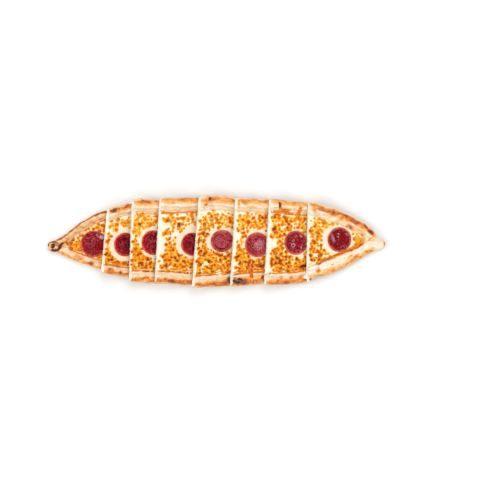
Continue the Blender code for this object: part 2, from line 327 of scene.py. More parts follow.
# %% Slice coordinates
class Slice:
    """One slice's own coordinates, measured on its CAD nodes, in metres."""

    STATIONS = 31

    def __init__(self, number):
        self.number = number
        node = f"dough_{number}"
        self.ends = end_plane(node, -1.0), end_plane(node, 1.0)
        self.base = fit_underside(node)
        self.has_cut = number > LEFT_TIP, number < RIGHT_TIP
        self.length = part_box(node)[1].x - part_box(node)[0].x
        self.solids = {}
        for kind in ("dough", "cheese"):
            mesh = frame["nodes"][f"{kind}_{number}"].data
            corners = [tuple(vertex.co) for vertex in mesh.vertices]
            faces = [tuple(face.vertices) for face in mesh.polygons]
            self.solids[kind] = BVHTree.FromPolygons(corners, faces)
        low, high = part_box(f"sucuk_{number}")
        self.disc = np.array(0.5 * (low + high))
        self.disc_radius = 0.5 * (high.y - low.y)
        self.measure()

    def underside(self, x, y):
        """Height of the underside, and the sine and cosine of its fall."""
        a, b, c, d, e = self.base
        slope = b + 2.0 * d * x + e * y
        cosine = 1.0 / np.sqrt(1.0 + slope * slope)
        return a + b * x + c * y + d * x * x + e * x * y, -slope * cosine, cosine

    def point(self, u, y, h):
        """World points from slice coordinates."""
        u, y, h = np.broadcast_arrays(np.asarray(u, float), y, h)
        z = h.copy()
        sine = 0.0
        for _ in range(6):
            x = mix(plane_x(self.ends[0], y, z), plane_x(self.ends[1], y, z), u)
            ground, sine, cosine = self.underside(x - h * sine, y)
            z = ground + h * cosine
        return np.stack([x, y, z], axis=-1)

    def coordinates(self, points):
        """Slice coordinates u, y and h from world points."""
        x, y, z = points.T
        h = z
        sine = 0.0
        for _ in range(5):
            ground, sine, cosine = self.underside(x - h * sine, y)
            h = (z - ground) / cosine
        left = plane_x(self.ends[0], y, z)
        right = plane_x(self.ends[1], y, z)
        return (x - left) / (right - left), y, h

    def shoot(self, kind, u, y, h, to_y, to_h):
        """Rays from points of the slice towards others: u, y and h where they meet the solid."""
        starts = self.point(u, y, h)
        aims = self.point(u, to_y, to_h) - starts
        aims /= np.linalg.norm(aims, axis=-1)[:, None]
        met = [self.solids[kind].ray_cast(Vector(start), Vector(aim))[0] for start, aim in zip(starts, aims)]
        met = np.array([hit for hit in met if hit is not None]).reshape(-1, 3)
        return self.coordinates(met)

    def scan(self, kind, u, front, back):
        """y and height of a solid's top, along a line across the bread."""
        across = np.arange(front, back, SCAN_STEP)
        _, y, h = self.shoot(kind, np.full_like(across, u), across, ABOVE, across, 0.0)
        return y, h

    def sides(self, u, start, end, height):
        """y where two level rays meet the bread, one towards the back and one towards the front."""
        _, y, _ = self.shoot("dough", np.array([u, u]), np.array(start), height, np.array(end), height)
        return y

    def measure(self):
        """Outer sides, fold lines, middle of the trough and edges of the filling at each station."""
        rows = []
        filling = []
        for u in np.linspace(0.01, 0.99, self.STATIONS):
            outside = self.sides(u, (BEYOND, -BEYOND), (0.0, 0.0), BELLY)
            if len(outside) < 2:
                continue
            back, front = outside
            quarter = 0.25 * (back - front)
            y, h = self.scan("dough", u, front + quarter, back - quarter)
            if not len(y):
                continue
            middle = y[h < h.min() + 0.1 * MM].mean()
            folds = self.sides(u, (middle, middle), (BEYOND, -BEYOND), FOLD)
            if len(folds) == 2:
                rows.append([u, back, folds[0], middle, folds[1], front])
            y, h = self.scan("cheese", u, front, back)
            if len(y) > 8:
                filling.append([u, y[0], y[-1], h[1], h[-2]])
        self.lines = np.array(rows).T
        self.filling = np.array(filling).T

    def line(self, which, u):
        """y of a measured line: back, back_fold, middle, front_fold or front."""
        names = ("back", "back_fold", "middle", "front_fold", "front")
        return np.interp(u, self.lines[0], self.lines[1 + names.index(which)])

    def far_from(self, along, across, half_length, half_width):
        """Distance from an ellipse's middle, told along in shares of the slice; 1 is its border."""
        return np.hypot(along * self.length / (half_length * MM), across / (half_width * MM))

    def cut_distance(self, points):
        """Distance of world points from the slice's nearest cut."""
        away = [(point - points) @ normal for (point, normal), cut in zip(self.ends, self.has_cut) if cut]
        return np.min(away, axis=0)

    def rim(self, u, y):
        """Whether a point is on the back rim, its share of the way from the rim's outer side to the
        cheese, and the rim's width."""
        on_back = y > self.line("middle", u)
        outer = np.where(on_back, self.line("back", u), self.line("front", u))
        fold = np.where(on_back, self.line("back_fold", u), self.line("front_fold", u))
        width = abs(outer - fold) / FOLD_SHARE
        return on_back, abs(outer - y) / width, width

# %% Measure the slices
slices = {number: Slice(number) for number in NUMBERS}
for measured in slices.values():
    wide = (measured.line("back", 0.5) - measured.line("front", 0.5)) / MM
    thick = np.median(measured.filling[3:]) / MM
    print(f"slice {measured.number}: {wide:.1f} mm wide, filling up to {thick:.1f} mm high")

# %% [markdown]
# ## Colours
#
# Colours are picked as they should look under the studio light, in the 0 to 255 steps of a screen.
# The light is a little stronger than white paper needs, so each colour is made darker by the same
# share before it goes into a material.

# %% Colours
LIGHT_SHARE = 0.80


def paint(red, green, blue):
    """A colour as it looks on a screen, made into the share of light that the surface gives back."""
    linear = []
    for value in (red, green, blue):
        value = value / 255.0
        value = value / 12.92 if value <= 0.04045 else ((value + 0.055) / 1.055) ** 2.4
        linear.append(value * LIGHT_SHARE)
    return (*linear, 1.0)

# %% [markdown]
# A material is a chain of nodes, and most of them do one of a few things: read a number from the
# mesh, make noise, map a value to colours, or lay one colour over another. A small class with one
# short call for each keeps the materials below readable as recipes.

# %% Building materials
MIX_FACTOR, MIX_A, MIX_B, MIX_RESULT = 0, 6, 7, 2  # a Mix node's sockets when it mixes colours


class Surface:
    """A material being built: a Principled shader and short calls that add the nodes in front of it."""

    def __init__(self, name, **sockets):
        self.material = bpy.data.materials.new(name)
        self.material.use_nodes = True
        self.nodes = self.material.node_tree.nodes
        self.links = self.material.node_tree.links
        self.shader = self.nodes["Principled BSDF"]
        for socket, value in sockets.items():
            self.feed(self.shader.inputs[socket.replace("_", " ")], value)

    def feed(self, socket, value):
        """Gives a socket a number, a colour or another node's output."""
        if isinstance(value, bpy.types.NodeSocket):
            self.links.new(value, socket)
        else:
            socket.default_value = value

    def add(self, kind, inputs=(), **settings):
        """Adds a node; inputs are pairs of a socket and what it gets."""
        node = self.nodes.new(kind)
        for name, value in settings.items():
            setattr(node, name, value)
        for socket, value in inputs:
            self.feed(node.inputs[socket], value)
        return node

    def value(self, name):
        """A number kept on the mesh's points."""
        return self.add("ShaderNodeAttribute", attribute_name=name).outputs["Fac"]

    def lumps(self, lump, detail=2.0):
        """Noise around one half, with lumps of this size in metres."""
        place = self.add("ShaderNodeTexCoord").outputs["Object"]
        inputs = [("Vector", place), ("Scale", 1.0 / lump), ("Detail", detail)]
        return self.add("ShaderNodeTexNoise", inputs).outputs["Fac"]

    def sum(self, a, b, share=1.0):
        """a plus b times share."""
        return self.add("ShaderNodeMath", [(0, b), (1, share), (2, a)], operation="MULTIPLY_ADD").outputs[0]

    def product(self, a, b):
        return self.add("ShaderNodeMath", [(0, a), (1, b)], operation="MULTIPLY").outputs[0]

    def vary(self, value, lumps, share):
        """A value made uneven by a share of these lumps."""
        return self.sum(value, self.sum(-0.5, lumps), share)

    def spread(self, value, start, end, low=0.0, high=1.0):
        """Maps start..end to low..high and stops there."""
        inputs = [("Value", value), ("From Min", start), ("From Max", end), ("To Min", low), ("To Max", high)]
        return self.add("ShaderNodeMapRange", inputs).outputs["Result"]

    def colours(self, value, *stops):
        """A colour ramp through stops of a place, red, green and blue."""
        node = self.add("ShaderNodeValToRGB", [("Fac", value)])
        elements = node.color_ramp.elements
        while len(elements) < len(stops):
            elements.new(1.0)
        for element, (place, *colour) in zip(elements, stops):
            element.position = place
            element.color = paint(*colour)
        return node.outputs["Color"]

    def cover(self, share, colour, strength=1.0):
        """Lays a colour, or another node's output, over the colour so far."""
        node = self.add("ShaderNodeMix", data_type="RGBA")
        colour = paint(*colour) if isinstance(colour, tuple) else colour
        self.feed(node.inputs[MIX_FACTOR], self.product(share, strength))
        self.feed(node.inputs[MIX_A], self.colour)
        self.feed(node.inputs[MIX_B], colour)
        self.colour = node.outputs[MIX_RESULT]

    def relief(self, height, depth, strength):
        """Bumps too fine for the mesh: height 0 to 1 stands for this depth in metres."""
        inputs = [("Height", height), ("Distance", depth), ("Strength", strength)]
        self.feed(self.shader.inputs["Normal"], self.add("ShaderNodeBump", inputs).outputs["Normal"])

    def finish(self, **sockets):
        """Links the colour and these sockets to the shader."""
        self.feed(self.shader.inputs["Base Color"], self.colour)
        for socket, value in sockets.items():
            self.feed(self.shader.inputs[socket.replace("_", " ")], value)
        return self.material

# %% Floor material
floor_paint = Surface("pale_floor", Roughness=0.9)
floor_paint.colour = floor_paint.colours(floor_paint.lumps(0.4), (0.0, 250, 250, 250), (1.0, 255, 255, 255))
floor.data.materials.append(floor_paint.finish())
print("floor painted")

# %% [markdown]
# ## Bread: the shape
#
# A baked rim is one skin of dough, puffed up unevenly, folded inwards over the filling and sliced
# through afterwards. The CAD loft has the right sizes but flat facets. A voxel remesh turns it into
# even small squares, a smooth modifier rounds its facets away without touching the cuts, and then
# every point is moved along its normal: long soft lumps and small bubbles on the skin, creases where
# the dough was folded, and pores where the knife opened the crumb.

# %% A fine copy of a CAD node
BREAD_VOXEL = 0.7 * MM
SMOOTHINGS = 18  # enough to round the facets of the CAD mesh away


def fine_copy(node, name, voxel, measured):
    """A copy of a CAD node, remeshed to squares of this size and smoothed away from its cuts."""
    item = pick(frame["nodes"][node])
    bpy.ops.object.duplicate()
    item = bpy.context.object
    item.name = name
    item.parent = None
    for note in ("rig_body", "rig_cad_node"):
        del item[note]
    bpy.ops.object.mode_set(mode="EDIT")
    bpy.ops.mesh.select_all(action="SELECT")
    bpy.ops.mesh.remove_doubles(threshold=0.01 * MM)
    bpy.ops.object.mode_set(mode="OBJECT")
    apply_modifier(item, "REMESH", mode="VOXEL", voxel_size=voxel)
    skin = item.vertex_groups.new(name="skin")
    far_from_cuts = np.flatnonzero(measured.cut_distance(read_points(item)) > voxel)
    skin.add(far_from_cuts.tolist(), 1.0, "REPLACE")
    apply_modifier(item, "SMOOTH", factor=0.5, iterations=SMOOTHINGS, vertex_group="skin")
    item.vertex_groups.clear()
    return item

# %% [markdown]
# Marks that give this pide its own face are told one by one: burnt blisters, floury patches and
# brown streaks. Each has a place on its slice, as shares along it and across the rim, a size in
# millimetres and a strength. The rest of the browning follows rules: the top of a rim is toasted,
# its waist stays pale because the oven's heat comes from above and below, and a thin line along the
# cheese fries in the fat.

# %% Marks on the rims
# slice and rim: share along, share across, half length and half width in mm, strength
TOASTED_MARKS = {
    (1, "back"): [(0.92, 0.1, 9, 3, 0.25), (0.86, 1.1, 6, 4, 0.55)],
    (1, "front"): [(0.73, 0.42, 5, 3, 0.4), (0.52, 0.55, 9, 3, 0.3), (0.86, 0.6, 7, 3.5, 0.22),
                   (0.27, 0.35, 4, 2.5, 0.25)],
    (2, "back"): [(0.12, 0.2, 9, 3, 0.42), (0.6, 0.15, 8, 2, 0.15)],
    (2, "front"): [(0.2, 0.6, 5, 2.6, 0.4), (0.75, 0.4, 6, 3, 0.2)],
    (3, "back"): [(0.3, 0.12, 8, 2.4, 0.2)],
    (3, "front"): [(0.13, 0.98, 7, 1, 0.7), (0.4, 0.45, 5, 2.5, 0.2)],
    (4, "front"): [(0.3, 0.25, 6, 2, 0.25), (0.85, 0.5, 6, 4, 0.18)],
    (5, "back"): [(0.13, 0.59, 3.2, 1.8, 0.42), (0.9, 0.35, 4, 6, 0.28)],
    (5, "front"): [(0.72, 0.5, 7, 6, 0.25)],
    (6, "back"): [(0.03, 0.5, 2, 6, 0.4), (0.4, 0.62, 7, 2.5, 0.18)],
    (6, "front"): [(0.3, 0.4, 9, 4, 0.3), (0.77, 0.55, 2.8, 3, 0.5)],
    (7, "back"): [(0.23, 0.55, 1.6, 5.5, 0.5)],
    (7, "front"): [(0.33, 0.66, 3.4, 2.6, 0.35), (0.55, 0.52, 4, 2.6, 0.4), (0.77, 0.6, 3.6, 2.4, 0.38)],
    (8, "back"): [(0.06, 0.62, 5.5, 3.4, 0.34), (0.33, 0.36, 9, 4, 0.24), (0.5, 0.22, 8, 3, 0.26),
                  (0.55, 0.84, 6.5, 4, 0.42), (0.7, 0.85, 5, 2.4, 0.28), (0.8, 0.31, 4, 2.8, 0.52),
                  (0.75, 0.15, 2.6, 2, 0.32)],
    (8, "front"): [(0.13, 0.5, 4.6, 3.4, 0.42), (0.55, 0.58, 5, 3.4, 0.3), (0.62, 0.4, 7, 3, 0.25)],
}
BURNT_MARKS = {
    (1, "back"): [(0.28, 0.7, 1.6, 1.2, 0.5), (0.29, 0.4, 1.6, 1.2, 0.4)],
    (2, "back"): [(0.08, 0.2, 4, 1.6, 0.35)],
    (2, "front"): [(0.51, 0.36, 3, 2.4, 0.75)],
    (3, "front"): [(0.1, 0.99, 3, 0.8, 0.7)],
    (5, "back"): [(0.22, 0.24, 3.2, 2.8, 1)],
    (5, "front"): [(0.8, 0.5, 4.2, 5.2, 0.8)],
    (6, "front"): [(0.04, 0.42, 4.4, 3, 1), (0.13, 0.3, 7, 2.8, 1), (0.18, 0.52, 6, 2.6, 1),
                   (0.25, 0.4, 4, 3, 0.85), (0.05, 0.7, 4, 1.6, 0.6), (0.77, 0.52, 1.9, 2.6, 0.85)],
    (7, "back"): [(0.25, 0.4, 0.9, 4, 0.35)],
    (8, "back"): [(0.55, 0.82, 2.6, 2, 0.6)],
    (8, "front"): [(0.32, 0.6, 2, 1.1, 0.55)],
}
# %% How the rims baked
# For each slice: how far the toasting reaches over the back and the front rim and how strong it is
# there, 1 being usual; how floury the front rim's inner side is, how far the front rim bulges over
# its CAD side in mm, and how strong the fried line along the back rim is.
RimLook = namedtuple("RimLook", "reach heat flour bulge fried")
RIM_LOOKS = {
    1: RimLook((0.50, 0.85), (1.60, 0.78), 0.6, 0.4, 0.5),
    2: RimLook((1.05, 1.00), (1.20, 1.05), 1.3, 0.4, 0.2),
    3: RimLook((0.88, 1.00), (1.10, 1.05), 0.6, 1.0, 0.6),
    4: RimLook((0.84, 1.00), (0.98, 1.10), 0.8, 1.3, 1.0),
    5: RimLook((1.15, 1.00), (1.00, 1.10), 0.7, 0.5, 0.1),
    6: RimLook((0.90, 1.20), (1.02, 1.12), 0.2, 1.4, 0.4),
    7: RimLook((0.85, 1.00), (0.90, 1.05), 0.7, 0.9, 0.9),
    8: RimLook((1.15, 0.80), (1.12, 0.72), 1.8, 0.4, 0.3),
}


def marked(measured, marks, u, on_back, across, width, ragged):
    """The strongest of this slice's marks at each point, with soft and ragged edges."""
    total = np.zeros_like(u)
    for rim in ("back", "front"):
        for along, depth, half_length, half_width, strength in marks.get((measured.number, rim), ()):
            away = measured.far_from(u - along, (across - depth) * width, half_length, half_width)
            inside = ramp(1.55, 0.15, away + ragged)
            total = np.maximum(total, strength * inside * (on_back == (rim == "back")))
    return total

# %% [markdown]
# At both ends the two rims are folded over each other and pinched. The folds left dark seams, and
# the pinched ends a rolled knob on the left and a rounded one on the right. Seams are told as the
# places they run through, in millimetres from the middle of the pide, so bread and cheese can share
# them.

# %% Seams where the rims are folded over each other
# slice: width, depth, darkness, and the places; a negative depth is a ridge
SEAMS = {
    1: [(2.4, 1.8, 1, [(-231.5, -13), (-229, -10.5), (-226.6, -6.8), (-223.4, -3.6)]),
        (1.5, 1.4, 0.8, [(-223.4, -3.6), (-221, -2.3), (-218.2, -1.6), (-215.8, -4.4)]),
        (1, 0.7, 0.28, [(-215.8, -4.4), (-213.8, -11), (-211, -17.5)]),
        (1.6, 0.3, 1, [(-244.8, -6), (-243.2, -2.2), (-240, -0.8), (-236, -0.6)]),
        (1.2, 0.3, 0.85, [(-236, -0.6), (-232, -1.8), (-230.4, -4)]),
        (2, 0, 1, [(-238, -12.8), (-234.5, -13.4), (-231, -12.6)]),
        (1.8, -1, 0, [(-243.5, -4.5), (-242, -9), (-238, -11.6), (-233.8, -9.4), (-231.8, -5.5)])],
    8: [(1.4, 1.3, 0.6, [(196, -12.6), (205.5, -8.3), (212, -3.7)]),
        (0.9, 1.2, 0.6, [(212, -3.7), (217, -0.8), (221.5, 1.4), (225.5, 4.6)]),
        (0.9, 0.9, 0.42, [(225.5, 4.6), (230, 5.8), (235, 5.4)]),
        (0.7, 0.6, 0.22, [(237.4, 1.6), (240.4, -1), (243.6, -3), (245, -5.6)]),
        (1.6, 0.3, 0.9, [(148, -33.2), (163, -24.3), (176, -19), (189, -14.6), (196, -12.6)])],
}
# slice: place, half length and half width, turn in degrees, depth: hollows, all in mm; each is also painted
# darker the deeper it is, as shade
HOLLOWS = {
    1: [((-237.6, -6.6), 4.4, 3.2, 60, 2.6), ((-234.5, -5.6), 3, 1.2, 10, 1)],
    8: [((219, -5.2), 3, 0.9, 25, 0.4)],
}
# A small flap of crust that stands out of one slice's back: x and half length in mm
FLAP_SLICE, FLAP_X, FLAP_HALF = 3, -110.5, 3.4


def turned(right, back, half_length, half_width, turn):
    """Places along and across an ellipse turned by so many radians; its border is 1 from its middle."""
    cosine, sine = math.cos(turn), math.sin(turn)
    return (right * cosine + back * sine) / half_length, (back * cosine - right * sine) / half_width


def far_from_line(points, places):
    """Distance in mm, seen from above, to a line through these places."""
    spots = points[:, :2] / MM
    nearest = np.full(len(spots), 1000.0)
    for start, end in zip(places, places[1:]):
        start, end = np.array(start), np.array(end)
        way = end - start
        share = np.clip((spots - start) @ way / (way @ way), 0.0, 1.0)
        nearest = np.minimum(nearest, np.linalg.norm(spots - start - share[:, None] * way, axis=1))
    return nearest


def folded(number, points, wobble):
    """Depth in mm and darkness of a slice's seams and hollows."""
    depth, dark = np.zeros(len(points)), np.zeros(len(points))
    for width, deep, darkness, places in SEAMS.get(number, ()):
        line = bump(far_from_line(points, places) + 0.4 * wobble, width * (1.0 + 0.45 * wobble))
        depth += deep * line
        dark = np.maximum(dark, darkness * np.minimum(1.0, 1.6 * line))
    for place, half_length, half_width, turn, deep in HOLLOWS.get(number, ()):
        away = points[:, :2] / MM - np.array(place)
        run, rise = turned(away[:, 0], away[:, 1], half_length, half_width, math.radians(turn))
        inside = ramp(1.2, 0.6, np.hypot(run, rise) + 0.15 * wobble)
        depth += deep * inside
        # painted shade: a hollow is darkened the more, the deeper it is
        dark = np.maximum(dark, 0.38 * deep * inside)
    return depth, dark

# %% [markdown]
# Now the bread of a slice is baked. First every point learns where it is: on the crust, on a cut,
# underneath, on a flank or in the trough. Then it rises by lumps and sinks by creases and pores, and
# last it gets its numbers for toast, flour with painted highlights, char and the painted shade of its
# folds, which the material turns into colours.

# %% Baking a slice's bread
# How toasted the crust is from the rim's outermost edge (0) to the cheese (1)
BACK_TOAST = ([0.00, 0.07, 0.13, 0.30, 0.42, 0.53, 0.62, 0.74, 0.88, 1.00],
              [0.20, 0.26, 0.57, 0.53, 0.44, 0.24, 0.16, 0.20, 0.26, 0.28])
FRONT_TOAST = ([0.00, 0.07, 0.14, 0.28, 0.38, 0.50, 0.66, 0.92, 1.00],
               [0.36, 0.44, 0.62, 0.62, 0.50, 0.32, 0.26, 0.19, 0.24])


def bake_bread(measured, material):
    """Shapes and colours one slice's bread."""
    number = measured.number
    look = RIM_LOOKS[number]
    item = fine_copy(f"dough_{number}", f"bread_{number}", BREAD_VOXEL, measured)
    points = read_points(item)
    normals = read_points(item, "normal")
    u, y, h = measured.coordinates(points)
    on_back, across, width = measured.rim(u, y)
    spot = points / MM

    def waves(lump, extra):
        return noise(spot, lump, 10 * number + extra)

    def rough_waves(lump, extra):
        return rough_noise(spot, lump, 10 * number + extra)

    def by_rim(back, front):
        return np.where(on_back, back, front)

    # where on the bread each point is
    cut = ramp(1.1 * MM, 0.5 * MM, measured.cut_distance(points)) * ramp(0.35, 0.6, abs(normals[:, 0]))
    skin = 1.0 - cut
    under = ramp(-0.3, -0.75, normals[:, 2]) * skin
    flank = ramp(7.0 * MM, 4.0 * MM, h) * skin * (1.0 - under) * ramp(0.5, 0.2, across)
    trough = ramp(0.98, 1.04, across) * (1.0 - under) * skin

    # lumps, bubbles, creases and pores
    lump = 0.8 * waves((24.0, 10.0, 10.0), 0) + 0.35 * waves(6.0, 1)
    wobble = 0.1 * waves((18.0, 60.0, 60.0), 2)
    step = across - 0.65 - 0.6 * wobble
    crease = 0.9 * ramp(-0.02, 0.05, step) * ramp(0.3, 0.1, step)
    crease += 0.4 * bump((across - 0.82 - 0.7 * wobble) * width, 0.7 * MM)
    crease *= ramp(8.0 * MM, 10.0 * MM, h) * (0.8 + 0.5 * waves(20.0, 19))
    blister = ramp(0.42, 0.75, waves(4.6, 3)) * (1.0 - under)
    wrinkle = 0.18 * waves((6.0, 1.3, 1.3), 4) * ramp(0.2, 0.6, across)
    wrinkle += 1.1 * bump((across - 0.97) * width, 2.0 * MM) * ~on_back * waves((6.0, 20.0, 20.0), 25)
    pore = ramp(0.3, 0.62, waves((1.6, 2.6, 1.8), 5)) + 0.7 * ramp(0.5, 0.75, waves((3.0, 6.0, 3.4), 6))
    torn = 0.45 * waves((9.0, 4.0, 4.0), 27) + 0.2 * waves((9.0, 1.6, 1.6), 28)
    torn += 0.3 * ramp(-0.3, -0.6, normals[:, 0])
    depth, dark = folded(number, points, waves(2.5, 16))
    rise = lump - crease + 0.4 * blister + wrinkle + by_rim(0.3, look.bulge) * ramp(0.35, 0.05, across)
    rise *= skin * (1.0 - 0.8 * under) * (1.0 - trough)
    rise += (torn - 0.8 * pore) * cut - depth * ramp(-0.1, 0.3, normals[:, 2])
    if number == FLAP_SLICE:
        away = np.hypot((spot[:, 0] - FLAP_X) / FLAP_HALF, (h / MM - 9.0) / 2.0)
        rise += 2.2 * ramp(1.3, 0.7, away) * on_back * ramp(0.25, 0.05, across)
    points += normals * (rise * MM)[:, None]
    points[:, 2] = np.maximum(points[:, 2], 0.0)
    write_points(item, points)

    # toasting of the rims' tops, the waist and the sole, with the told marks on it
    inner = across + 0.09 * waves((16.0, 6.0, 6.0), 7) + 0.03 * waves(3.0, 8)
    edge = inner / by_rim(*look.reach)
    top = by_rim(np.interp(edge, *BACK_TOAST), np.interp(edge, *FRONT_TOAST))
    top = 0.1 + (top - 0.1) * by_rim(*look.heat) * (1.0 + 0.35 * waves((14.0, 5.0, 5.0), 9))
    top += by_rim(0.1, 0.18) * rough_waves(4.5, 15) + 0.1 * blister + 0.1 * waves((5.0, 1.6, 1.6), 24)
    top -= by_rim(0.14, 0.12) * ramp(9.0, 1.0, u * measured.length / MM) * measured.has_cut[0]
    if number == RIGHT_TIP:
        top += on_back * 0.26 * waves((9.0, 5.0, 5.0), 30) * ramp(0.05, 0.25, across)
    waist = 0.24 + 0.35 * ramp(3.0 * MM, 0.8 * MM, h) + 0.08 * rough_waves(7.0, 10)
    sole = 0.34 + 0.3 * ramp(0.05, 0.6, rough_waves(9.0, 11))
    toast = mix(mix(top, waist, flank), sole, under)
    fried = bump((across - 0.955) * width, 0.8 * MM) * (1.0 - under)
    fried *= ramp(-0.3, 0.2, waves(9.0, 12)) * by_rim(0.3 + 0.7 * look.fried, 0.9)
    ragged = 0.35 * waves(3.2, 13) + 0.25 * waves(1.5, 17)
    spots = marked(measured, TOASTED_MARKS, u, on_back, across, width, ragged) * (1.0 - under)
    # the seams' browning and the hollows' painted shade
    dark *= ramp(-0.5, 0.0, normals[:, 2])
    toast = np.maximum(toast + spots, 0.95 * dark)
    char = marked(measured, BURNT_MARKS, u, on_back, across, width, ragged) * (1.0 - under)
    char = np.maximum(char, 0.85 * ramp(0.8, 1.0, dark))

    # painted shade in the folds, and flour on the rims' inner sides
    grey = ramp(0.05, 0.45, waves((13.0, 1.9, 1.9), 14)) * ramp(0.44, 0.6, edge) * by_rim(0.7, 0.6)
    # painted shade under the edge of the folded flap
    under_fold = bump(step - 0.07, 0.045) * ramp(-0.35, 0.15, waves((17.0, 30.0, 30.0), 20))
    grey = np.maximum(grey, under_fold * by_rim(1.0, 0.5))
    flour = ramp(0.5, 0.66, edge) * ramp(1.02, 0.94, across) * (1.0 - flank) * by_rim(0.0, 1.0)
    flour *= look.flour * (0.45 + 0.5 * waves((7.0, 3.0, 3.0), 18))
    # painted highlights: a pale line on the back rim's crest before the fold's step, and along the front
    # rim's lip by the cheese; both are laid into flour
    painted_crest_highlight = bump(step + 0.07, 0.07) * ramp(-0.3, 0.2, waves((15.0, 30.0, 30.0), 21))
    painted_lip_highlight = bump((across - 0.93) * width, 1.4 * MM) * (0.95 + 0.7 * waves(7.0, 22))
    if number == LEFT_TIP:
        painted_crest_highlight, painted_lip_highlight = 0.0 * painted_crest_highlight, 0.3 * painted_lip_highlight
        face = ramp(0.2, 0.38, across) * ramp(0.86, 0.74, across) * on_back * (1.0 - flank)
        from_seam = spot[:, 0] + 222.5
        fold = np.hypot(from_seam / 7.0, (spot[:, 1] + 9.0 + 0.4 * from_seam) / 4.5)
        painted_lip_highlight = np.maximum(painted_lip_highlight, 0.85 * ramp(1.4, 0.6, fold + 0.3 * waves(4.0, 31)))
        grey = np.maximum(grey, 0.55 * face * (0.8 + 0.5 * waves((12.0, 3.0, 3.0), 23)))
        toast += 0.42 * face * ramp(-0.1, 0.6, waves((9.0, 3.0, 3.0), 29))
    flour = np.maximum(flour, by_rim(0.9 * painted_crest_highlight, painted_lip_highlight) * (1.0 - flank)) * (1.0 - ramp(0.05, 0.3, spots))
    if number == RIGHT_TIP:
        knob = ramp(226.0, 234.0, spot[:, 0])
        end = ramp(241.5, 245.2, spot[:, 0] + 0.8 * waves(2.0, 26))
        flour = np.maximum(flour, 0.4 * knob) * (1.0 - end)
        toast = toast * (1.0 - 0.4 * knob) + 0.42 * end
    upper = ramp(-0.25, 0.1, normals[:, 2]) * (1.0 - dark)
    grey *= ramp(0.98, 0.86, inner) * (1.0 - flank) * upper
    crumb = cut * ramp(0.4 * MM, 3.0 * MM, skin_depth(points, cut, skin * (1.0 - trough)))
    write_values(item, toast=toast * (1.0 - 0.9 * crumb), char=char * (1.0 - crumb), grey=grey,
                 crumb=crumb, fried=fried * (1.0 - crumb), flour=flour * upper * (1.0 - crumb))
    finish_piece(item, f"dough_{number}", material)


def nearest_tree(places):
    """A search tree that finds the nearest of these places."""
    tree = KDTree(len(places))
    for index, place in enumerate(places):
        tree.insert(place, index)
    tree.balance()
    return tree


def skin_depth(points, cut, skin):
    """How deep under the crust the points of the cuts lie."""
    crust = nearest_tree(points[skin > 0.6])
    depth = np.zeros(len(points))
    for index in np.flatnonzero(cut > 0.0):
        depth[index] = crust.find(points[index])[2]
    return depth

# %% [markdown]
# ## Bread: the finish
#
# The numbers kept on the points say how toasted, burnt, floury or cut open the bread is at each
# place, and where shade and highlights are painted along its folds. The material turns them into
# colour with a ramp from floury cream to brown, roughens them with finer noise than the mesh can hold,
# and adds the fine skin of the crust as bumps.

# %% Bread material
def bread_material():
    bread = Surface("baked_bread", Specular_IOR_Level=0.25)
    fine = bread.lumps(1.6 * MM)
    broad = bread.lumps(5.0 * MM)
    toast = bread.vary(bread.vary(bread.value("toast"), fine, 0.5), broad, 0.18)
    bread.colour = bread.colours(
        toast, (0.00, 255, 246, 228), (0.14, 254, 234, 202), (0.28, 253, 212, 156), (0.42, 252, 186, 104),
        (0.56, 240, 148, 62), (0.72, 206, 105, 46), (0.86, 150, 74, 44), (1.00, 96, 52, 42))
    # painted shade in the rims' folds, greyish
    bread.cover(bread.product(bread.value("grey"), bread.spread(fine, 0.2, 0.5)), (206, 188, 164), 0.75)
    # flour, together with the painted highlight lines along the folds and lips
    bread.cover(bread.value("flour"), (255, 244, 230), 0.92)
    bread.cover(bread.spread(bread.vary(bread.value("fried"), fine, 0.4), 0.15, 0.8), (230, 130, 40))
    crumb = bread.colours(bread.vary(bread.lumps(1.2 * MM), broad, 1.2),
                          (0.15, 254, 230, 190), (0.34, 270, 258, 230), (0.55, 278, 273, 258))
    bread.cover(bread.value("crumb"), crumb)
    burnt = bread.vary(bread.value("char"), fine, 0.3)
    bread.cover(bread.spread(burnt, 0.05, 0.55), (164, 96, 58))
    bread.cover(bread.spread(burnt, 0.4, 0.95), (56, 32, 20))
    bread.relief(bread.sum(bread.lumps(0.9 * MM, 3.0), bread.lumps(2.6 * MM, 1.0), 1.2), 0.35 * MM, 0.8)
    return bread.finish(Roughness=bread.spread(toast, 0.1, 0.8, 0.82, 0.55))


bread_finish = bread_material()
for measured in slices.values():
    bake_bread(measured, bread_finish)

# %% [markdown]
# ## Cheese: the shape
#
# The melted cheese is a sheet that lies between the rims and was cut through with the bread. A plain
# grid, one primitive for each slice, has the even cells that fine blisters need: its points are laid
# on the filling's measured edges and height, and its border is then extruded down in a few steps as
# the cut side. A copy of the CAD solid would do too, but its hollow for the sausage would show.
#
# The browning is where cheese looks like cheese. It rises in islands a few millimetres wide that run
# into each other. They are dealt out by chance over a loose grid, each one nudged, turned, stretched
# and sized on its own, and left out where the told share of spots is low. An island's middle is
# browner than its fringe, it stands up as a blister, and both come from the same numbers.

# %% Where the cheese browned
CHEESE_CELL = 0.5 * MM
CHEESE_DEPTH = 4.2 * MM
CHEESE_OVERLAP = 1.2 * MM
CHEESE_PROUD = 0.25 * MM  # how far it stands out of a cut
CHEESE_CROWN = 0.5 * MM  # how much higher its middle is than its edges
SAUSAGE_BED = 2.2  # how deep it dips under a round, in mm
WALL_STEPS = 5
ROUNDED_END = 9.0 * MM
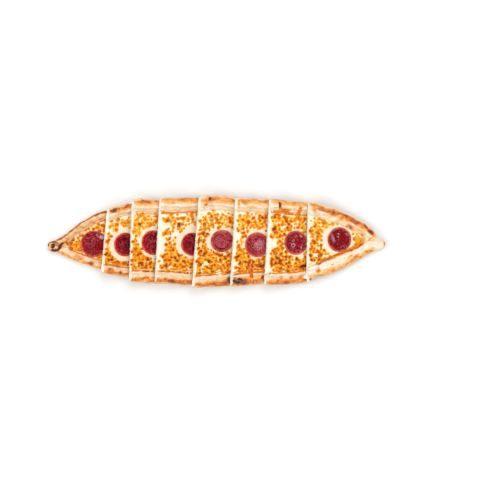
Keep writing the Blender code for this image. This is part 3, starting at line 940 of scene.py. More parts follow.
# For each slice: the share of spots in its front and back half, how brown they are, the bare ring
# round the sausage towards left, right, front and back, and the bare strip along the left cut, in mm.
CheeseLook = namedtuple("CheeseLook", "front back heat ring strip")
CHEESE_LOOKS = {
    1: CheeseLook(1.80, 1.70, 1.45, (0.5, 0.0, 0.5, 1.0), 0.0),
    2: CheeseLook(1.50, 1.05, 0.76, (6.5, 8.0, 7.0, 6.0), 1.0),
    3: CheeseLook(1.35, 1.25, 0.76, (3.0, 6.0, 3.0, 3.5), 0.5),
    4: CheeseLook(1.30, 0.70, 0.74, (6.5, 6.0, 3.5, 9.0), 3.2),
    5: CheeseLook(1.35, 1.00, 0.86, (5.0, 6.0, 2.5, 4.0), 1.0),
    6: CheeseLook(1.35, 1.15, 0.82, (1.0, 4.0, 1.5, 5.0), 3.6),
    7: CheeseLook(1.45, 1.25, 0.92, (-0.5, 2.0, 1.0, 1.5), 5.4),
    8: CheeseLook(0.95, 1.15, 0.76, (7.5, 1.5, 6.0, 3.5), 2.2),
}
# Burns, for each slice: share along, share across from the front, half length and half width in mm,
# strength
CHEESE_BURNS = {
    1: [(0.4, 0.5, 5, 4, 0.55), (0.46, 0.15, 5, 3, 0.75), (0.52, 0.84, 5, 3, 0.6), (0.84, 0.16, 6, 3, 0.48),
        (0.6, 0.5, 22, 13, 0.45), (0.36, 0.62, 4, 4, 0.62), (0.56, 0.2, 4, 3, 0.7), (0.9, 0.86, 5, 3, 0.7)],
    2: [(0.12, 0.97, 4, 2.6, 0.55)],
    3: [(0.29, 0.15, 3.2, 3, 0.8), (0.4, 0.07, 3, 1.4, 0.95), (0.945, 0.62, 1.6, 7, 0.9)],
    4: [(0.4, 0.77, 4, 3.6, 0.9), (0.26, 0.84, 8, 2.2, 0.44), (0.17, 0.86, 2.6, 5, 0.5),
        (0.4, 0.2, 3, 2.8, 0.8), (0.53, 0.19, 2.4, 2.4, 0.85), (0.71, 0.16, 2.8, 2.6, 0.8),
        (0.2, 0.14, 2.4, 2.2, 0.7), (0.3, 0.06, 3, 1, 0.75)],
    5: [(0.03, 0.55, 2, 8, 0.85), (0.05, 0.36, 2.6, 2.4, 0.8), (0.62, 0.1, 3.2, 2.6, 0.7)],
    6: [(0.34, 0.83, 6, 3.6, 0.75), (0.18, 0.18, 3.4, 3, 0.8), (0.42, 0.18, 3.4, 3.2, 0.8),
        (0.74, 0.11, 7, 3, 0.85)],
    7: [(0.955, 0.8, 1.5, 6.5, 1), (0.12, 0.71, 4.6, 3.6, 0.9), (0.3, 0.21, 4.6, 4, 0.85),
        (0.4, 0.88, 3.4, 4, 0.75), (0.83, 0.1, 8, 3, 1)],
    8: [(0.69, 0.5, 11, 24, 0.38), (0.02, 0.7, 2.6, 2.6, 0.8), (0.09, 0.8, 2.4, 2.2, 0.75),
        (0.13, 0.65, 3.4, 2.6, 0.75), (0.08, 0.45, 3.6, 2, 0.75), (0.17, 0.4, 2.4, 2.6, 0.75),
        (0.72, 0.74, 2.6, 2.2, 0.62), (0.7, 0.55, 3, 2, 0.58), (0.65, 0.78, 2.4, 2.4, 0.62),
        (0.17, 0.2, 2.6, 4, 0.75), (0.62, 0.66, 2.8, 2.4, 0.75), (0.68, 0.25, 3.4, 2.8, 0.75)],
}
# Places without islands, told the same way
CHEESE_BARE = {
    4: [(0.34, 0.9, 5, 2.2), (0.09, 0.45, 6, 10), (0.08, 0.16, 4, 4)],
    6: [(0.1, 0.62, 4, 6)],
    7: [(0.74, 0.27, 7, 4.5), (0.16, 0.5, 5, 6)],
    8: [(0.1, 0.2, 5, 4)],
}
# Islands of browning: their usual distance, smallest and largest radius in mm, and longest shape
ISLAND_GAP = 4.7
ISLAND_RADII = 1.7, 3.6
ISLAND_STRETCH = 1.45
BURST_SHARE = 0.14  # islands that burst open and show red oil
# Rounds of sausage that are longer than wide: how much, and how far their middle lies to the left in mm
OVAL = {5: (1.085, 1.4), 6: (1.03, 0.6)}

# %% The places under and around the sausage
def sausage_axes(measured):
    """Middle of the slice's round of sausage, and directions down the slice, across and up."""
    x, y, _ = measured.disc
    _, sine, cosine = measured.underside(x, y)
    return measured.disc, np.array([[cosine, 0.0, -sine], [0.0, 1.0, 0.0], [sine, 0.0, cosine]])


def flattened(points):
    """The points in mm, all at height 0, so that noise does not change with height."""
    return np.stack([points[:, 0] / MM, points[:, 1] / MM, np.zeros(len(points))], axis=1)


def cheese_places(measured, points, u, share):
    """How full of brown islands each place may be, how bare it is, and its distance in mm out of
    the round of sausage."""
    look = CHEESE_LOOKS[measured.number]
    flat = flattened(points)

    def waves(lump, extra):
        return noise(flat, lump, 20 * measured.number + extra)

    middle, (along, across, _) = sausage_axes(measured)
    longer, to_left = OVAL.get(measured.number, (1.0, 0.0))
    run = ((points - middle) @ along / MM + to_left) / longer
    rise = (points - middle) @ across / MM
    out = np.hypot(run, rise) - measured.disc_radius / MM
    turn = np.arctan2(rise, run)
    ring = 0.0
    for width, facing in zip(look.ring, (-np.cos(turn), np.cos(turn), -np.sin(turn), np.sin(turn))):
        ring = ring + width * np.maximum(facing, 0.0) ** 2
    bare = ramp(ring + 2.0, ring - 0.8, out + 1.9 * waves(6.0, 5) + 0.9 * waves(2.4, 8))
    from_left = u * measured.length / MM + 1.2 * waves(6.0, 6)
    strip = ramp(look.strip + 1.0, look.strip - 1.0, from_left) if look.strip else 0.0
    back_margin = ramp(0.95, 0.98, share + 0.01 * waves(5.0, 7))
    allowed = mix(look.front, look.back, ramp(0.35, 0.65, share)) * (1.0 + 0.85 * waves(12.0, 4))
    allowed *= (1.0 - bare) * (1.0 - strip) * (1.0 - 0.8 * back_margin)
    for at, over, half_length, half_width in CHEESE_BARE.get(measured.number, ()):
        away = measured.far_from(u - at, (share - over) * measured.trough_width, half_length, half_width)
        allowed *= ramp(0.7, 1.1, away + 0.15 * waves(5.0, 14))
    return allowed, bare, out

# %% Islands and burns
def browning(measured, points, u, share):
    """How brown the cheese is, 0 to 1: islands scattered over it, and the told burns."""
    look = CHEESE_LOOKS[measured.number]
    seed = 20 * measured.number
    flat = flattened(points)
    allowed, bare, out = cheese_places(measured, points, u, share)
    chance = np.random.default_rng(seed + 1)
    left, low = flat[:, :2].min(axis=0)
    right, high = flat[:, :2].max(axis=0)
    columns, rows = math.ceil((right - left) / ISLAND_GAP), math.ceil((high - low) / ISLAND_GAP)
    tree = nearest_tree(flat)

    ragged = 0.36 * noise(flat, 3.0, seed + 9) + 0.2 * noise(flat, 1.3, seed + 10)
    clear = np.ones(len(flat))
    fringe, flesh = np.zeros(len(flat)), np.zeros(len(flat))
    for column, row in np.ndindex(columns, rows):
        nudge = chance.uniform(-0.42, 0.42, 2)
        draw, size, stretch, turn, hot, burst = chance.random(6)
        x = left + (column + 0.5 + 0.5 * (row % 2) + nudge[0]) * ISLAND_GAP
        y = low + (row + 0.5 + nudge[1]) * ISLAND_GAP
        _, nearest, away = tree.find((x, y, 0.0))
        if away > 1.5 or draw > allowed[nearest]:
            continue
        radius = mix(*ISLAND_RADII, size ** 1.3)
        longer = mix(1.0, ISLAND_STRETCH, stretch) ** 0.5
        strength = look.heat * mix(0.6, 1.3, hot) + 0.35 * (size - 0.5) + 0.5 * (0.5 - share[nearest])
        run, rise = turned(flat[:, 0] - x, flat[:, 1] - y, radius * longer, radius / longer, turn * math.pi)
        fringe = np.maximum(fringe, ramp(1.32, 0.62, np.hypot(run, rise) + ragged))
        core = np.hypot(run - 0.7 * nudge[0], rise - 0.7 * nudge[1]) + 1.2 * ragged
        clear *= 1.0 - min(max(strength - 0.3, 0.0), 0.75) * ramp(0.92, 0.22, core)
        if burst > 1.0 - BURST_SHARE and radius > 2.0:
            flesh = np.maximum(flesh, ramp(0.6, 0.25, core))
    golden = mix(0.37, 0.18, share) * ramp(0.75, 1.25, allowed) * (0.92 + 0.9 * noise(flat, 4.0, seed + 11))
    yellow = mix(0.4, 0.34, share) * fringe * (1.0 + 0.25 * noise(flat, 3.0, seed + 15))
    brown = 1.0 - (1.0 - np.maximum(yellow, np.clip(golden, 0.0, 1.0))) * clear

    ragged = 0.35 * noise(flat, 2.2, seed + 12)
    for at, over, half_length, half_width, strength in CHEESE_BURNS.get(measured.number, ()):
        away = measured.far_from(u - at, (share - over) * measured.trough_width, half_length, half_width)
        brown = np.maximum(brown, strength * ramp(1.35, 0.45, away + ragged))
    return brown, bare, out, flesh

# %% [markdown]
# A slice's sheet of cheese starts as a flat grid, is laid into the bread and torn a little where the
# knife went through. Its blisters come from the browning. At last its border is extruded down in
# steps, the way a wall is pulled out of a floor plan, and the walls bulge a little as melted cheese
# does.

# %% Sheets with walls
def add_sheet(name, columns, rows, size):
    """A flat grid of even cells."""
    bpy.ops.object.select_all(action="DESELECT")
    bpy.ops.mesh.primitive_grid_add(x_subdivisions=columns, y_subdivisions=rows, size=size)
    item = bpy.context.object
    item.name = name
    return item


def close_sheet(item, moves):
    """Extrudes a sheet's border by these moves, one after the other, and closes it underneath."""
    pick(item)
    bpy.ops.object.mode_set(mode="EDIT")
    bpy.ops.mesh.select_mode(type="EDGE")
    bpy.ops.mesh.select_all(action="DESELECT")
    bpy.ops.mesh.select_non_manifold()
    for move in moves:
        bpy.ops.mesh.extrude_edges_move(TRANSFORM_OT_translate={"value": move})
    bpy.ops.mesh.edge_face_add()
    bpy.ops.mesh.select_all(action="SELECT")
    bpy.ops.mesh.normals_make_consistent(inside=False)
    bpy.ops.object.mode_set(mode="OBJECT")

# %% Melting a slice's cheese
def melt_cheese(measured, material):
    """Lays one slice's sheet of cheese, with its blisters and cut sides."""
    number, length = measured.number, measured.length
    shares, front_edge, back_edge, front_height, back_height = measured.filling
    proud = CHEESE_PROUD / length
    start = -proud if measured.has_cut[0] else shares[0]
    end = 1.0 + proud if measured.has_cut[1] else shares[-1]
    measured.trough_width = float(np.max(back_edge - front_edge))
    columns = round((end - start) * length / CHEESE_CELL)
    rows = round(measured.trough_width / CHEESE_CELL)
    item = add_sheet(f"melted_cheese_{number}", columns, rows, 1.0)
    square = read_points(item) + 0.5
    nought = np.zeros(len(square))

    # torn cut edges, wavy edges along the rims, and rounded ends at the tips
    u = mix(start, end, square[:, 0])
    share = square[:, 1]
    side = np.where(u < 0.5, -1.0, 1.0)
    from_cut = np.where(u < 0.5, u - start, end - u) * length / MM
    along_cut = np.stack([40.0 * side, share * measured.trough_width / MM, nought], axis=1)
    torn = 0.7 * noise(along_cut, 5.0, number + 70) + 0.4 * noise(along_cut, 1.8, number + 80)
    torn += np.where(u < 0.5, 0.8, 0.0)
    torn *= ramp(3.0, 0.0, from_cut) * np.where(u < 0.5, *[float(cut) for cut in measured.has_cut])
    u = u + side * torn * MM / length
    along_rim = np.stack([u * length / MM, np.where(share < 0.5, 0.0, 50.0), nought], axis=1)
    sway = 0.9 * noise(along_rim, 9.0, number + 50) + 0.5 * noise(along_rim, 3.5, number + 60)
    front = np.interp(u, shares, front_edge) - CHEESE_OVERLAP - sway * MM
    back = np.interp(u, shares, back_edge) + CHEESE_OVERLAP + sway * MM
    if not all(measured.has_cut):
        tip = end if measured.has_cut[0] else start
        from_tip = np.clip(abs(u - tip) * length / ROUNDED_END, 0.0, 1.0)
        narrow = np.sqrt(1.0 - 0.985 * (1.0 - from_tip) ** 2)
        middle = 0.5 * (front + back)
        front, back = mix(middle, front, narrow), mix(middle, back, narrow)
    y = mix(front, back, share)
    h = mix(np.interp(u, shares, front_height), np.interp(u, shares, back_height), share)
    h += CHEESE_CROWN * np.sin(np.pi * share) + 0.45 * sway * MM * abs(2.0 * share - 1.0) ** 6
    points = measured.point(u, y, h)
    spot = points / MM
    flat = flattened(points)
    brown, bare, out, flesh = browning(measured, points, u, share)

    def waves(lump, extra, places=flat):
        return noise(places, lump, 20 * number + extra)

    # waves, blisters, the bed of the sausage, and rounded edges
    depth, dark = folded(number, points, waves(2.5, 16, spot))
    cut = measured.cut_distance(points) / MM
    rim = np.minimum(y - front, back - y) / MM
    rise = 0.4 * waves(10.0, 10, spot) + 0.12 * waves(2.6, 11, spot) + 0.3 * bump(out - 0.8, 1.0)
    rise += 0.5 * ramp(0.1, 0.6, brown) - 0.25 * ramp(0.75, 1.0, brown)
    rise = mix(rise, -SAUSAGE_BED, ramp(-0.4, -2.2, out))
    rise -= 0.35 * ramp(1.0, 0.0, cut) + 0.6 * ramp(2.2, 0.4, rim) + 0.5 * depth
    points = points + (measured.point(u, y, h + MM) - points) * rise[:, None]
    write_points(item, points)

    # lines that fried in the fat along the rims, with paler cheese between two of them in front
    flat[:, :2] = points[:, :2] / MM
    in_front = share < 0.5
    strong = np.where(in_front, 0.0, RIM_LOOKS[number].fried)
    wander = rim - 1.7 - 1.2 * strong ** 2 - 0.6 * waves(9.0, 12)
    fried = bump(wander, 0.9 + 0.6 * strong ** 2) * ramp(-0.35, 0.05, waves(10.0, 13) + 0.6 * strong ** 2)
    second = bump(wander - 2.7 - 0.9 * waves(12.0, 21), 0.7) * in_front
    fried = np.maximum(fried, second * ramp(-0.3, 0.2, waves(11.0, 22)))
    fried *= np.where(in_front, 1.3, 1.3 * strong) * ramp(2.0, 9.0, (back - front) / MM)
    fried *= ramp(0.4, 1.4, measured.cut_distance(points) / MM)
    brown *= 1.0 - 0.85 * bump(wander - 1.35, 0.75) * in_front * ramp(-0.4, 0.2, waves(9.0, 23))
    if number == RIGHT_TIP:
        brown = np.maximum(brown, 0.44 * bump(rim - 2.8, 1.9) * in_front * ramp(0.1, 0.35, u))
    # seams brown the cheese too, and the hollows' painted shade darkens it
    brown = np.maximum(brown, 0.82 * dark)
    oil = bump(out - 0.2 - 0.3 * waves(3.0, 17, spot), 0.7) * (0.7 + 0.6 * waves(9.0, 18, spot))
    layers = {"brown": brown, "fried": fried, "bare": bare, "oil": np.maximum(oil, 0.8 * flesh)}
    add_walls(item, measured, spot, 0.5 * (front + back), layers)
    finish_piece(item, f"cheese_{number}", material)


def add_walls(item, measured, spot, middle, layers):
    """Gives the sheet its cut sides, and keeps the colour numbers."""
    drop = CHEESE_DEPTH / WALL_STEPS
    close_sheet(item, [(0.0, 0.0, -drop)] * WALL_STEPS)
    points = read_points(item)
    top = len(spot)
    ring = (len(points) - top) // WALL_STEPS
    tree = nearest_tree(points[:top])
    above = np.array([tree.find(point)[1] for point in points[top:top + ring] + (0.0, 0.0, drop)])
    u, y, h = measured.coordinates(points[above])
    to_middle = 0.8 * np.clip(middle[above] - y, -MM, MM)
    outward = np.where(u < 0.5, -1.0, 1.0) * (abs(u - 0.5) > 0.49) * MM / measured.length
    for step in range(1, WALL_STEPS + 1):
        first = top + ring * (step - 1)
        down = step / WALL_STEPS
        bulge = (0.25 + 0.3 * noise(spot[above] + 9.0 * down, 2.5, 3)) * np.sin(np.pi * down)
        points[first:first + ring] = measured.point(
            u + outward * bulge, y + to_middle * down, h - CHEESE_DEPTH * down)
    write_points(item, points)
    for name, values in layers.items():
        layers[name] = np.concatenate([values, np.tile(values[above], WALL_STEPS)])
    side = np.repeat(np.linspace(0.0, 1.0, WALL_STEPS + 1), [top] + [ring] * WALL_STEPS)
    side *= 1.0 - 0.85 * ramp(0.3, 0.55, layers["brown"])
    write_values(item, side=side, **layers)

# %% Cheese material
def cheese_material():
    cheese = Surface("browned_cheese", Specular_IOR_Level=0.09)
    fine = cheese.lumps(0.9 * MM)
    broad = cheese.lumps(5.0 * MM)
    brown = cheese.vary(cheese.value("brown"), fine, 0.12)
    cheese.colour = cheese.colours(
        cheese.vary(brown, broad, 0.06), (0.00, 255, 245, 224), (0.07, 255, 239, 208),
        (0.16, 254, 214, 124), (0.26, 252, 184, 46), (0.38, 246, 154, 14), (0.54, 230, 126, 12),
        (0.70, 202, 92, 12), (0.85, 150, 58, 22), (1.00, 88, 36, 34))
    bare = cheese.product(cheese.value("bare"), cheese.spread(brown, 0.2, 0.05))
    cheese.cover(bare, cheese.colours(broad, (0.3, 254, 238, 212), (0.7, 248, 220, 186)), 0.9)
    fried = cheese.spread(cheese.vary(cheese.value("fried"), fine, 0.3), 0.15, 0.75)
    cheese.cover(fried, (222, 122, 24), 0.9)
    cheese.cover(cheese.value("oil"), (226, 120, 66), 0.6)
    cheese.cover(cheese.spread(cheese.vary(cheese.value("side"), broad, 0.6), 0.08, 0.4), (272, 264, 244))
    cheese.relief(cheese.sum(cheese.lumps(0.8 * MM), cheese.lumps(2.2 * MM, 1.0)), 0.25 * MM, 0.6)
    return cheese.finish(Roughness=cheese.spread(brown, 0.1, 0.9, 0.4, 0.6))


cheese_finish = cheese_material()
for measured in slices.values():
    melt_cheese(measured, cheese_finish)

# %% [markdown]
# ## Sausage
#
# A round of sucuk curls into a shallow cup as it bakes, with a dry raised edge and fat standing in
# its middle. A square grid pulled into a circle has even cells and no pole in its middle, unlike a
# circle with rings. It is cupped, wrinkled and given a wall the way the cheese was.

# %% How the rounds fried
SAUSAGE_CELLS = 72
SAUSAGE_DROPS = (0.5, 0.7, 0.7)  # steps of a round's side, in mm
SAUSAGE_STANDS = 1.5  # height of its edge over the cheese, in mm
# For each round: depth of its cup and height of its wrinkles in mm, the width of its dry rind, how
# pale its middle is, and how red the ring inside the rind; that fried red ring is painted on the
# left and front side only, where it also stands for light on the cup's wall.
RoundLook = namedtuple("RoundLook", "cup wrinkles rind pale ring")
ROUND_LOOKS = {
    1: RoundLook(1.6, 0.18, 0.11, 0.44, 0.4), 2: RoundLook(1.6, 0.14, 0.13, 0.32, 1.0),
    3: RoundLook(1.5, 0.14, 0.13, 0.40, 1.0), 4: RoundLook(1.5, 0.14, 0.11, 0.34, 0.9),
    5: RoundLook(1.2, 0.34, 0.17, 0.78, 0.0), 6: RoundLook(1.5, 0.20, 0.12, 0.70, 0.5),
    7: RoundLook(1.5, 0.26, 0.13, 0.52, 0.3), 8: RoundLook(1.9, 0.18, 0.15, 0.22, 0.5),
}
# Places on a round are shares of its radius to the right and towards the back. Pools of oil, for
# each slice: right, back, half length, half width, turn in degrees, strength.
POOLS = {
    1: [(0.42, -0.18, 0.48, 0.34, -60, 1)],
    2: [(0.55, -0.25, 0.4, 0.3, 80, 0.7)],
    3: [(0.75, -0.2, 0.55, 0.25, 85, 0.7)],
    4: [(0.55, -0.3, 0.6, 0.3, 80, 0.5)],
    5: [(0.72, 0.05, 0.45, 0.16, 85, 0.6)],
    7: [(0.22, 0.02, 0.4, 0.26, 70, 1), (0.5, 0, 0.15, 0.15, 0, 0.8)],
    8: [(0.2, 0, 0.48, 0.42, 60, 1), (0.45, -0.25, 0.3, 0.2, 40, 0.8)],
}
# Pale fat, set or still wet, and painted highlights on the meat: the same numbers, and the width of a ring (0
# = filled)
FAT_AND_PAINTED_HIGHLIGHTS = {
    1: [(0.58, 0.5, 0.24, 0.15, -25, 1, 0), (0.28, 0.62, 0.18, 0.12, -40, 0.5, 0),
        (-0.15, 0.18, 0.3, 0.1, 70, 0.35, 0), (0.55, -0.55, 0.1, 0.05, 0, 0.6, 0)],
    2: [(0.62, 0.38, 0.22, 0.18, 0, 1, 0), (0.1, 0.05, 0.22, 0.15, 40, 0.25, 0)],
    3: [(0.25, 0.15, 0.25, 0.12, 30, 0.4, 0), (0.45, 0.45, 0.14, 0.09, 60, 0.4, 0)],
    4: [(0.2, 0.1, 0.22, 0.16, 60, 0.3, 0), (0.75, -0.45, 0.1, 0.07, 30, 0.9, 0)],
    6: [(0.15, 0, 0.55, 0.45, 30, 0.5, 0), (0.35, -0.25, 0.14, 0.12, 0, 0.55, 0),
        (0.05, 0.3, 0.1, 0.07, 0, 0.5, 0)],
    7: [(-0.2, -0.22, 0.19, 0.19, 0, 0.9, 0.4), (-0.2, 0.15, 0.18, 0.12, 30, 0.5, 0),
        (0.45, 0.52, 0.16, 0.07, -45, 0.9, 0), (0.5, -0.42, 0.12, 0.06, -60, 0.9, 0)],
    8: [(-0.52, 0.12, 0.44, 0.16, -65, 0.6, 0), (-0.05, 0.45, 0.09, 0.08, 0, 0.9, 0),
        (-0.08, 0.22, 0.08, 0.07, 0, 0.8, 0), (-0.05, 0.02, 0.07, 0.07, 0, 0.6, 0),
        (0.3, -0.55, 0.36, 0.1, 15, 0.35, 0), (0.6, 0.45, 0.2, 0.1, -50, 0.5, 0)],
}
# Painted shade where the next slice's raised edge shades a round, told like the pools
PAINTED_SHADE_BY_NEXT_EDGE = {
    1: [(-0.2, -0.35, 0.45, 0.3, 30, 0.3)],
    2: [(0.2, -0.05, 0.6, 0.34, 75, 0.4)],
    3: [(0.85, -0.05, 0.65, 0.26, 85, 0.6)],
    4: [(0.85, 0, 0.65, 0.32, 85, 0.65)],
    5: [(0.95, -0.05, 0.6, 0.16, 85, 0.6)],
    6: [(0.92, 0.1, 0.6, 0.16, 85, 0.35)],
    7: [(-0.35, 0.45, 0.4, 0.22, 40, 0.25)],
    8: [(0.1, 0.9, 0.6, 0.12, 0, 0.45)],
}
# Creases, sunk into the round and painted dark as the shade in them: distance from the middle, from and to
# which angle in degrees, strength
CREASES = {
    5: [(0.66, 205, 335, 1), (0.86, 215, 325, 0.6), (0.66, 110, 165, 0.8), (0.35, 20, 120, 0.35),
        (0.4, 190, 250, 0.3), (0.84, 25, 60, 0.9)],
    7: [(0.72, 190, 235, 0.6)],
    8: [(0.82, 200, 300, 0.5)],
}

# %% Spots and creases on a round
def spots_on_round(spots, right, back):
    """How much of these spots lies at each point of a round."""
    total = np.zeros(len(right))
    for at_right, at_back, half_length, half_width, turn, strength, *hollow in spots:
        run, rise = turned(right - at_right, back - at_back, half_length, half_width, math.radians(turn))
        far = np.hypot(run, rise)
        if hollow and hollow[0]:
            far = abs(far - 1.0 + hollow[0] / 2.0) / (hollow[0] / 2.0)
        total = np.maximum(total, strength * ramp(1.45, 0.3, far))
    return total


def creases_on_round(number, right, back, ragged):
    """Depth of the creases at each point of a round."""
    out = np.hypot(right, back)
    angle = np.degrees(np.arctan2(back, right)) % 360.0
    total = np.zeros(len(right))
    for at, start, end, strength in CREASES.get(number, ()):
        inside = ramp(start - 12.0, start + 12.0, angle) * ramp(end + 12.0, end - 12.0, angle)
        line = bump(out - at - 0.16 * ragged, 0.048 * (1.0 + 0.5 * ragged))
        total = np.maximum(total, strength * inside * line)
    return total

# %% [markdown]
# Each round is fried in turn: cupped, wrinkled, creased, laid into its bed in the cheese with the
# slice's own tilt, and given a side. The last numbers say where its rind dried, where fat stands and
# where it has set, where highlights are painted on, and where shade is painted into its creases and
# beside the next slice's edge.

# %% Frying the rounds
def fry_sausage(measured, material):
    """Shapes and colours one round of sausage."""
    number = measured.number
    look = ROUND_LOOKS[number]
    item = add_sheet(f"sucuk_round_{number}", SAUSAGE_CELLS, SAUSAGE_CELLS, 2.0)
    square = read_points(item)
    right = square[:, 0] * np.sqrt(1.0 - 0.5 * square[:, 1] ** 2)
    back = square[:, 1] * np.sqrt(1.0 - 0.5 * square[:, 0] ** 2)
    radius = measured.disc_radius / MM
    outline = np.stack([right, back, np.zeros(len(right))], axis=1)
    flat = outline * radius * (1.0 + 0.03 * noise(outline * 8.0, 7.0, 30 * number))[:, None]

    def waves(lump, extra, places):
        return noise(places, lump, 30 * number + extra)

    # a cup with a raised edge, wrinkles where no oil stands, creases and a rounded border
    from_edge = (1.0 - np.hypot(right, back)) * radius
    height = SAUSAGE_STANDS - look.cup * ramp(look.rind * 0.4 * radius, 0.62 * radius, from_edge)
    height += 0.25 * bump(from_edge - 1.5, 1.1) + 0.3 * waves(10.0, 4, flat)
    wrinkles = look.wrinkles * waves(2.6, 1, flat) + 0.08 * waves(1.1, 2, flat)
    height += wrinkles * (1.0 - 0.8 * spots_on_round(POOLS.get(number, ()), right, back))
    height -= 0.7 * creases_on_round(number, right, back, waves(4.0, 3, flat))
    height -= 1.1 * (1.0 - np.sqrt(1.0 - 0.98 * ramp(1.3, 0.0, from_edge) ** 2))
    middle, axes = sausage_axes(measured)
    longer, to_left = OVAL.get(number, (1.0, 0.0))
    oval = np.stack([flat[:, 0] * longer - to_left, flat[:, 1], height], axis=1)
    write_points(item, middle + oval @ axes * MM)
    close_sheet(item, [tuple(-drop * MM * axes[2]) for drop in SAUSAGE_DROPS])

    # rind, red ring, set fat with painted highlights, oil, and painted shade beside the next slice's edge
    points = (read_points(item) - middle) @ axes.T / MM
    right, back = (points[:, 0] + to_left) / (radius * longer), points[:, 1] / radius
    out = np.hypot(right, back)
    grain = waves(2.4, 5, points)
    border = 1.0 - look.rind
    rind = ramp(border - 0.05, border + 0.05, out + 0.04 * grain + 0.05 * waves(7.0, 8, points))
    # fried red ring, painted on the left and front side only, as light on the cup's wall there
    ring = look.ring * bump(out - 0.76 - 0.05 * grain, 0.13) * ramp(0.5, -0.5, right + 0.3 * back)
    ragged = 0.035 * waves(1.3, 7, points)
    # pale fat, partly painted highlights where the lamps would glint
    fat = 0.8 * spots_on_round(FAT_AND_PAINTED_HIGHLIGHTS.get(number, ()), right + ragged + 0.02 * grain, back - ragged)
    pool = spots_on_round(POOLS.get(number, ()), right + 0.05 * grain, back)
    # painted shade: the meat beside the next slice's raised edge is darkened
    shaded = spots_on_round(PAINTED_SHADE_BY_NEXT_EDGE.get(number, ()), right + 0.06 * grain, back) * (1.0 - rind)
    # painted shade: the creases and the meat beside the next slice's edge share one dark number
    crease = np.maximum(creases_on_round(number, right, back, waves(4.0, 3, points)), shaded)
    write_values(item, rind=rind, ring=ring, fat=fat, pool=pool, crease=crease,
                 pale=look.pale + 0.25 * waves(4.0, 6, points))
    finish_piece(item, f"sucuk_{number}", material)

# %% Sausage material
def sausage_material():
    sausage = Surface("sucuk_meat", Specular_IOR_Level=0.03, Coat_Roughness=0.08, Coat_IOR=1.3)
    grain = sausage.lumps(1.5 * MM, 3.0)
    tone = sausage.vary(sausage.value("pale"), grain, 2.4)
    tone = sausage.vary(tone, sausage.lumps(5.0 * MM), 0.8)
    tone = sausage.vary(tone, sausage.lumps(2.8 * MM, 1.0), 1.1)
    sausage.colour = sausage.colours(
        tone, (0.0, 84, 2, 10), (0.3, 128, 12, 24), (0.6, 162, 40, 50), (1.0, 194, 90, 98))
    # fried red ring, partly painted light on the cup's lit wall
    sausage.cover(sausage.value("ring"), (184, 4, 22), 0.9)
    sausage.cover(sausage.spread(sausage.lumps(1.0 * MM, 1.0), 0.66, 0.74), (214, 140, 142), 0.8)
    sausage.cover(sausage.spread(sausage.lumps(2.0 * MM, 1.0), 0.4, 0.3), (78, 6, 20), 0.6)
    rind = sausage.colours(sausage.lumps(4.0 * MM), (0.35, 176, 62, 44), (0.65, 226, 118, 90))
    sausage.cover(sausage.value("rind"), rind, 0.85)
    sausage.cover(sausage.value("pool"), (140, 0, 4), 0.95)
    fat = sausage.spread(sausage.vary(sausage.value("fat"), grain, 1.2), 0.2, 1.0)
    # pale fat and painted highlights, lavender white
    sausage.cover(fat, (236, 200, 214), 0.8)
    # painted shade, dark red, in the creases and beside the next slice's edge
    sausage.cover(sausage.value("crease"), (60, 6, 16), 0.9)
    sausage.relief(sausage.sum(grain, sausage.lumps(0.5 * MM), 0.5), 0.3 * MM, 0.8)
    wet = sausage.sum(sausage.product(sausage.value("pool"), 0.5), sausage.value("fat"), 0.8)
    return sausage.finish(Roughness=sausage.spread(wet, 0.0, 0.7, 0.42, 0.12),
                          Coat_Weight=sausage.spread(wet, 0.1, 0.7, 0.0, 0.4))


sausage_finish = sausage_material()
for measured in slices.values():
    fry_sausage(measured, sausage_finish)

# %% [markdown]
# ## Drips, strands and crumbs
#
# A little cheese ran over the rims and fried there, and the knife left crumbs at the corners. A
# strand is a curve with a round bevel laid on the surface: rays from above find how high the bread
# stands under each of its places, and half of the tube sinks in. Crumbs are small lumpy balls, one
# mesh for all of them, each pressed slightly into what it lies on.

# %% Laying strands of cheese
RAY_START = 0.2  # height in metres, well above the pide


def surface_height(tree, x, y):
    """Height of the highest surface under a place given in mm."""
    hit = tree.ray_cast(Vector((x * MM, y * MM, RAY_START)), Vector((0.0, 0.0, -1.0)))[0]
    return hit.z if hit else 0.0


def tree_of(names):
    """One search tree over several finished pieces."""
    points, faces, first = [], [], 0
    for name in names:
        mesh = bpy.data.objects[name].data
        points += [vertex.co for vertex in mesh.vertices]
        faces += [[first + index for index in face.vertices] for face in mesh.polygons]
        first = len(points)
    return BVHTree.FromPolygons(points, faces)


# name: height above the surface in mm, how brown, and places: x, y and half width in mm
STRANDS = {
    "drip_6": (0.6, 0.60, [(47.4, -35.5, 2.4), (48.4, -40.5, 3.5), (49.8, -45, 3), (50.4, -50, 3.2),
                           (50.8, -54.5, 3)]),
    "streak_7": (0.5, 0.50, [(90.8, 57, 1.6), (91.2, 52.5, 2.3), (91.8, 47.5, 2.2), (94, 45.2, 2.5),
                             (99, 45, 2.7), (103.5, 45.2, 2.5), (107, 45.6, 1.8)]),
    "drip_7": (0.5, 0.50, [(122.8, 50.4, 2.4), (121.2, 46.8, 3.3), (119.2, 42.6, 3.3),
                           (117.4, 38.4, 3.1), (117, 32.5, 2.2)]),
    "thread_3": (0.3, 0.05, [(-120.2, 44.2, 0.9), (-117.8, 41, 1.3), (-116, 38, 1.3), (-115.4, 34.6, 0.9)]),
    "thread_8": (0.2, 0.05, [(158.4, -29.8, 0.9), (159.4, -33.2, 1.4), (160, -36.8, 0.9)]),
}
STRAND_VOXEL = 0.3 * MM
PALE = 0.1  # strands less brown than this are even in colour


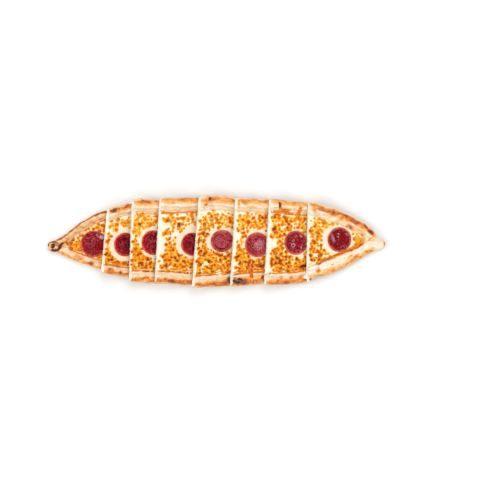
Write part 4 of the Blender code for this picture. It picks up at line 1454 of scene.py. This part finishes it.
def lay_strand(name, lift, brown, places, tree, material):
    """A tube of cheese through these places, half sunk in the surface."""
    bpy.ops.object.select_all(action="DESELECT")
    bpy.ops.curve.primitive_nurbs_path_add()
    item = bpy.context.object
    item.name = name
    curve = item.data
    curve.splines.clear()
    spline = curve.splines.new("NURBS")
    spline.points.add(len(places) - 1)
    for point, (x, y, radius) in zip(spline.points, places):
        point.co = (x * MM, y * MM, surface_height(tree, x, y) + (lift - 0.6 * radius) * MM, 1.0)
        point.radius = radius
    spline.use_endpoint_u = True
    spline.order_u = 4
    spline.resolution_u = 8
    curve.bevel_depth = 1.0 * MM
    curve.bevel_resolution = 5
    curve.use_fill_caps = True
    bpy.ops.object.convert(target="MESH")
    item = bpy.context.object
    apply_modifier(item, "REMESH", mode="VOXEL", voxel_size=STRAND_VOXEL)
    apply_modifier(item, "SMOOTH", factor=0.5, iterations=4)
    points = read_points(item)
    spot = points / MM
    write_points(item, points + read_points(item, "normal") * (0.25 * noise(spot, 2.0, 5) * MM)[:, None])
    brown = brown + (0.25 if brown > PALE else 0.1) * noise(spot, 3.0, 6)
    if name == "streak_7":
        brown += 0.4 * ramp(47.0, 52.0, spot[:, 1])
    nothing = np.zeros(len(points))
    write_values(item, brown=brown, fried=nothing, bare=nothing, oil=nothing, side=nothing)
    finish_piece(item, None, material)


top_pieces = [f"{kind}_{number}" for kind in ("bread", "melted_cheese") for number in NUMBERS]
top_tree = tree_of(top_pieces)
for name, strand in STRANDS.items():
    lay_strand(name, *strand, top_tree, cheese_finish)

# %% [markdown]
# Where a slice's corner was torn, a few crumbs of bread broke off. Each is a small ball made lumpy
# by noise. They lie in little heaps, so one joined mesh holds them all.

# %% Scattering crumbs
# place and how far they are spread in mm, how many, and the radius of the biggest in mm
CRUMB_HEAPS = [
    ((130.5, -51.0), 2.4, 7, 2.6), ((133.0, -52.5), 2.0, 5, 2.2), ((134.0, -57.5), 1.6, 5, 1.9),
    ((22.5, -60.5), 1.2, 3, 1.7), ((-124.8, 55.2), 1.0, 3, 1.7), ((129.0, -46.0), 1.6, 3, 1.6),
]
CRUMB_ROUNDING = 4  # how often a crumb's ball is subdivided
crumb_chance = np.random.default_rng(7)
crumbs = []
for (x, y), spread_out, count, biggest in CRUMB_HEAPS:
    for _ in range(count):
        dx, dy = crumb_chance.normal(0.0, 0.6, 2) * spread_out
        size = biggest * crumb_chance.uniform(0.5, 1.0)
        height = surface_height(top_tree, x + dx, y + dy) / MM + 0.3 * size
        bpy.ops.object.select_all(action="DESELECT")
        place = [value * MM for value in (x + dx, y + dy, height)]
        bpy.ops.mesh.primitive_ico_sphere_add(subdivisions=CRUMB_ROUNDING, radius=size * MM, location=place)
        crumbs.append(bpy.context.object)
for crumb in crumbs:
    crumb.select_set(True)
bpy.ops.object.join()
crumbs = bpy.context.object
crumbs.name = "bread_crumbs"
bpy.ops.object.transform_apply(location=True, rotation=True, scale=True)
points = read_points(crumbs)
spot = points / MM
lumpy = 0.45 * noise(spot, 1.1, 8) + 0.2 * noise(spot, 0.5, 9)
points += read_points(crumbs, "normal") * (lumpy * MM)[:, None]
points[:, 2] = np.maximum(points[:, 2], 0.0)
write_points(crumbs, points)
none = np.zeros(len(points))
write_values(crumbs, toast=0.1 + 0.25 * noise(points / MM, 2.0, 10), crumb=none + 0.8, char=none, grey=none,
             fried=none, flour=none)
finish_piece(crumbs, None, bread_finish)

# %% [markdown]
# ## Sizes at the end
#
# The finished pieces may stand a little prouder than the plain solids, but not change the object's
# size, so both boxes are printed.

# %% Sizes
look_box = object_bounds()
boxes = {"cad": cad_box, "visual": look_box}
for name, box in boxes.items():
    print(name, [round((high - low) / MM, 1) for low, high in zip(*box)], "mm")
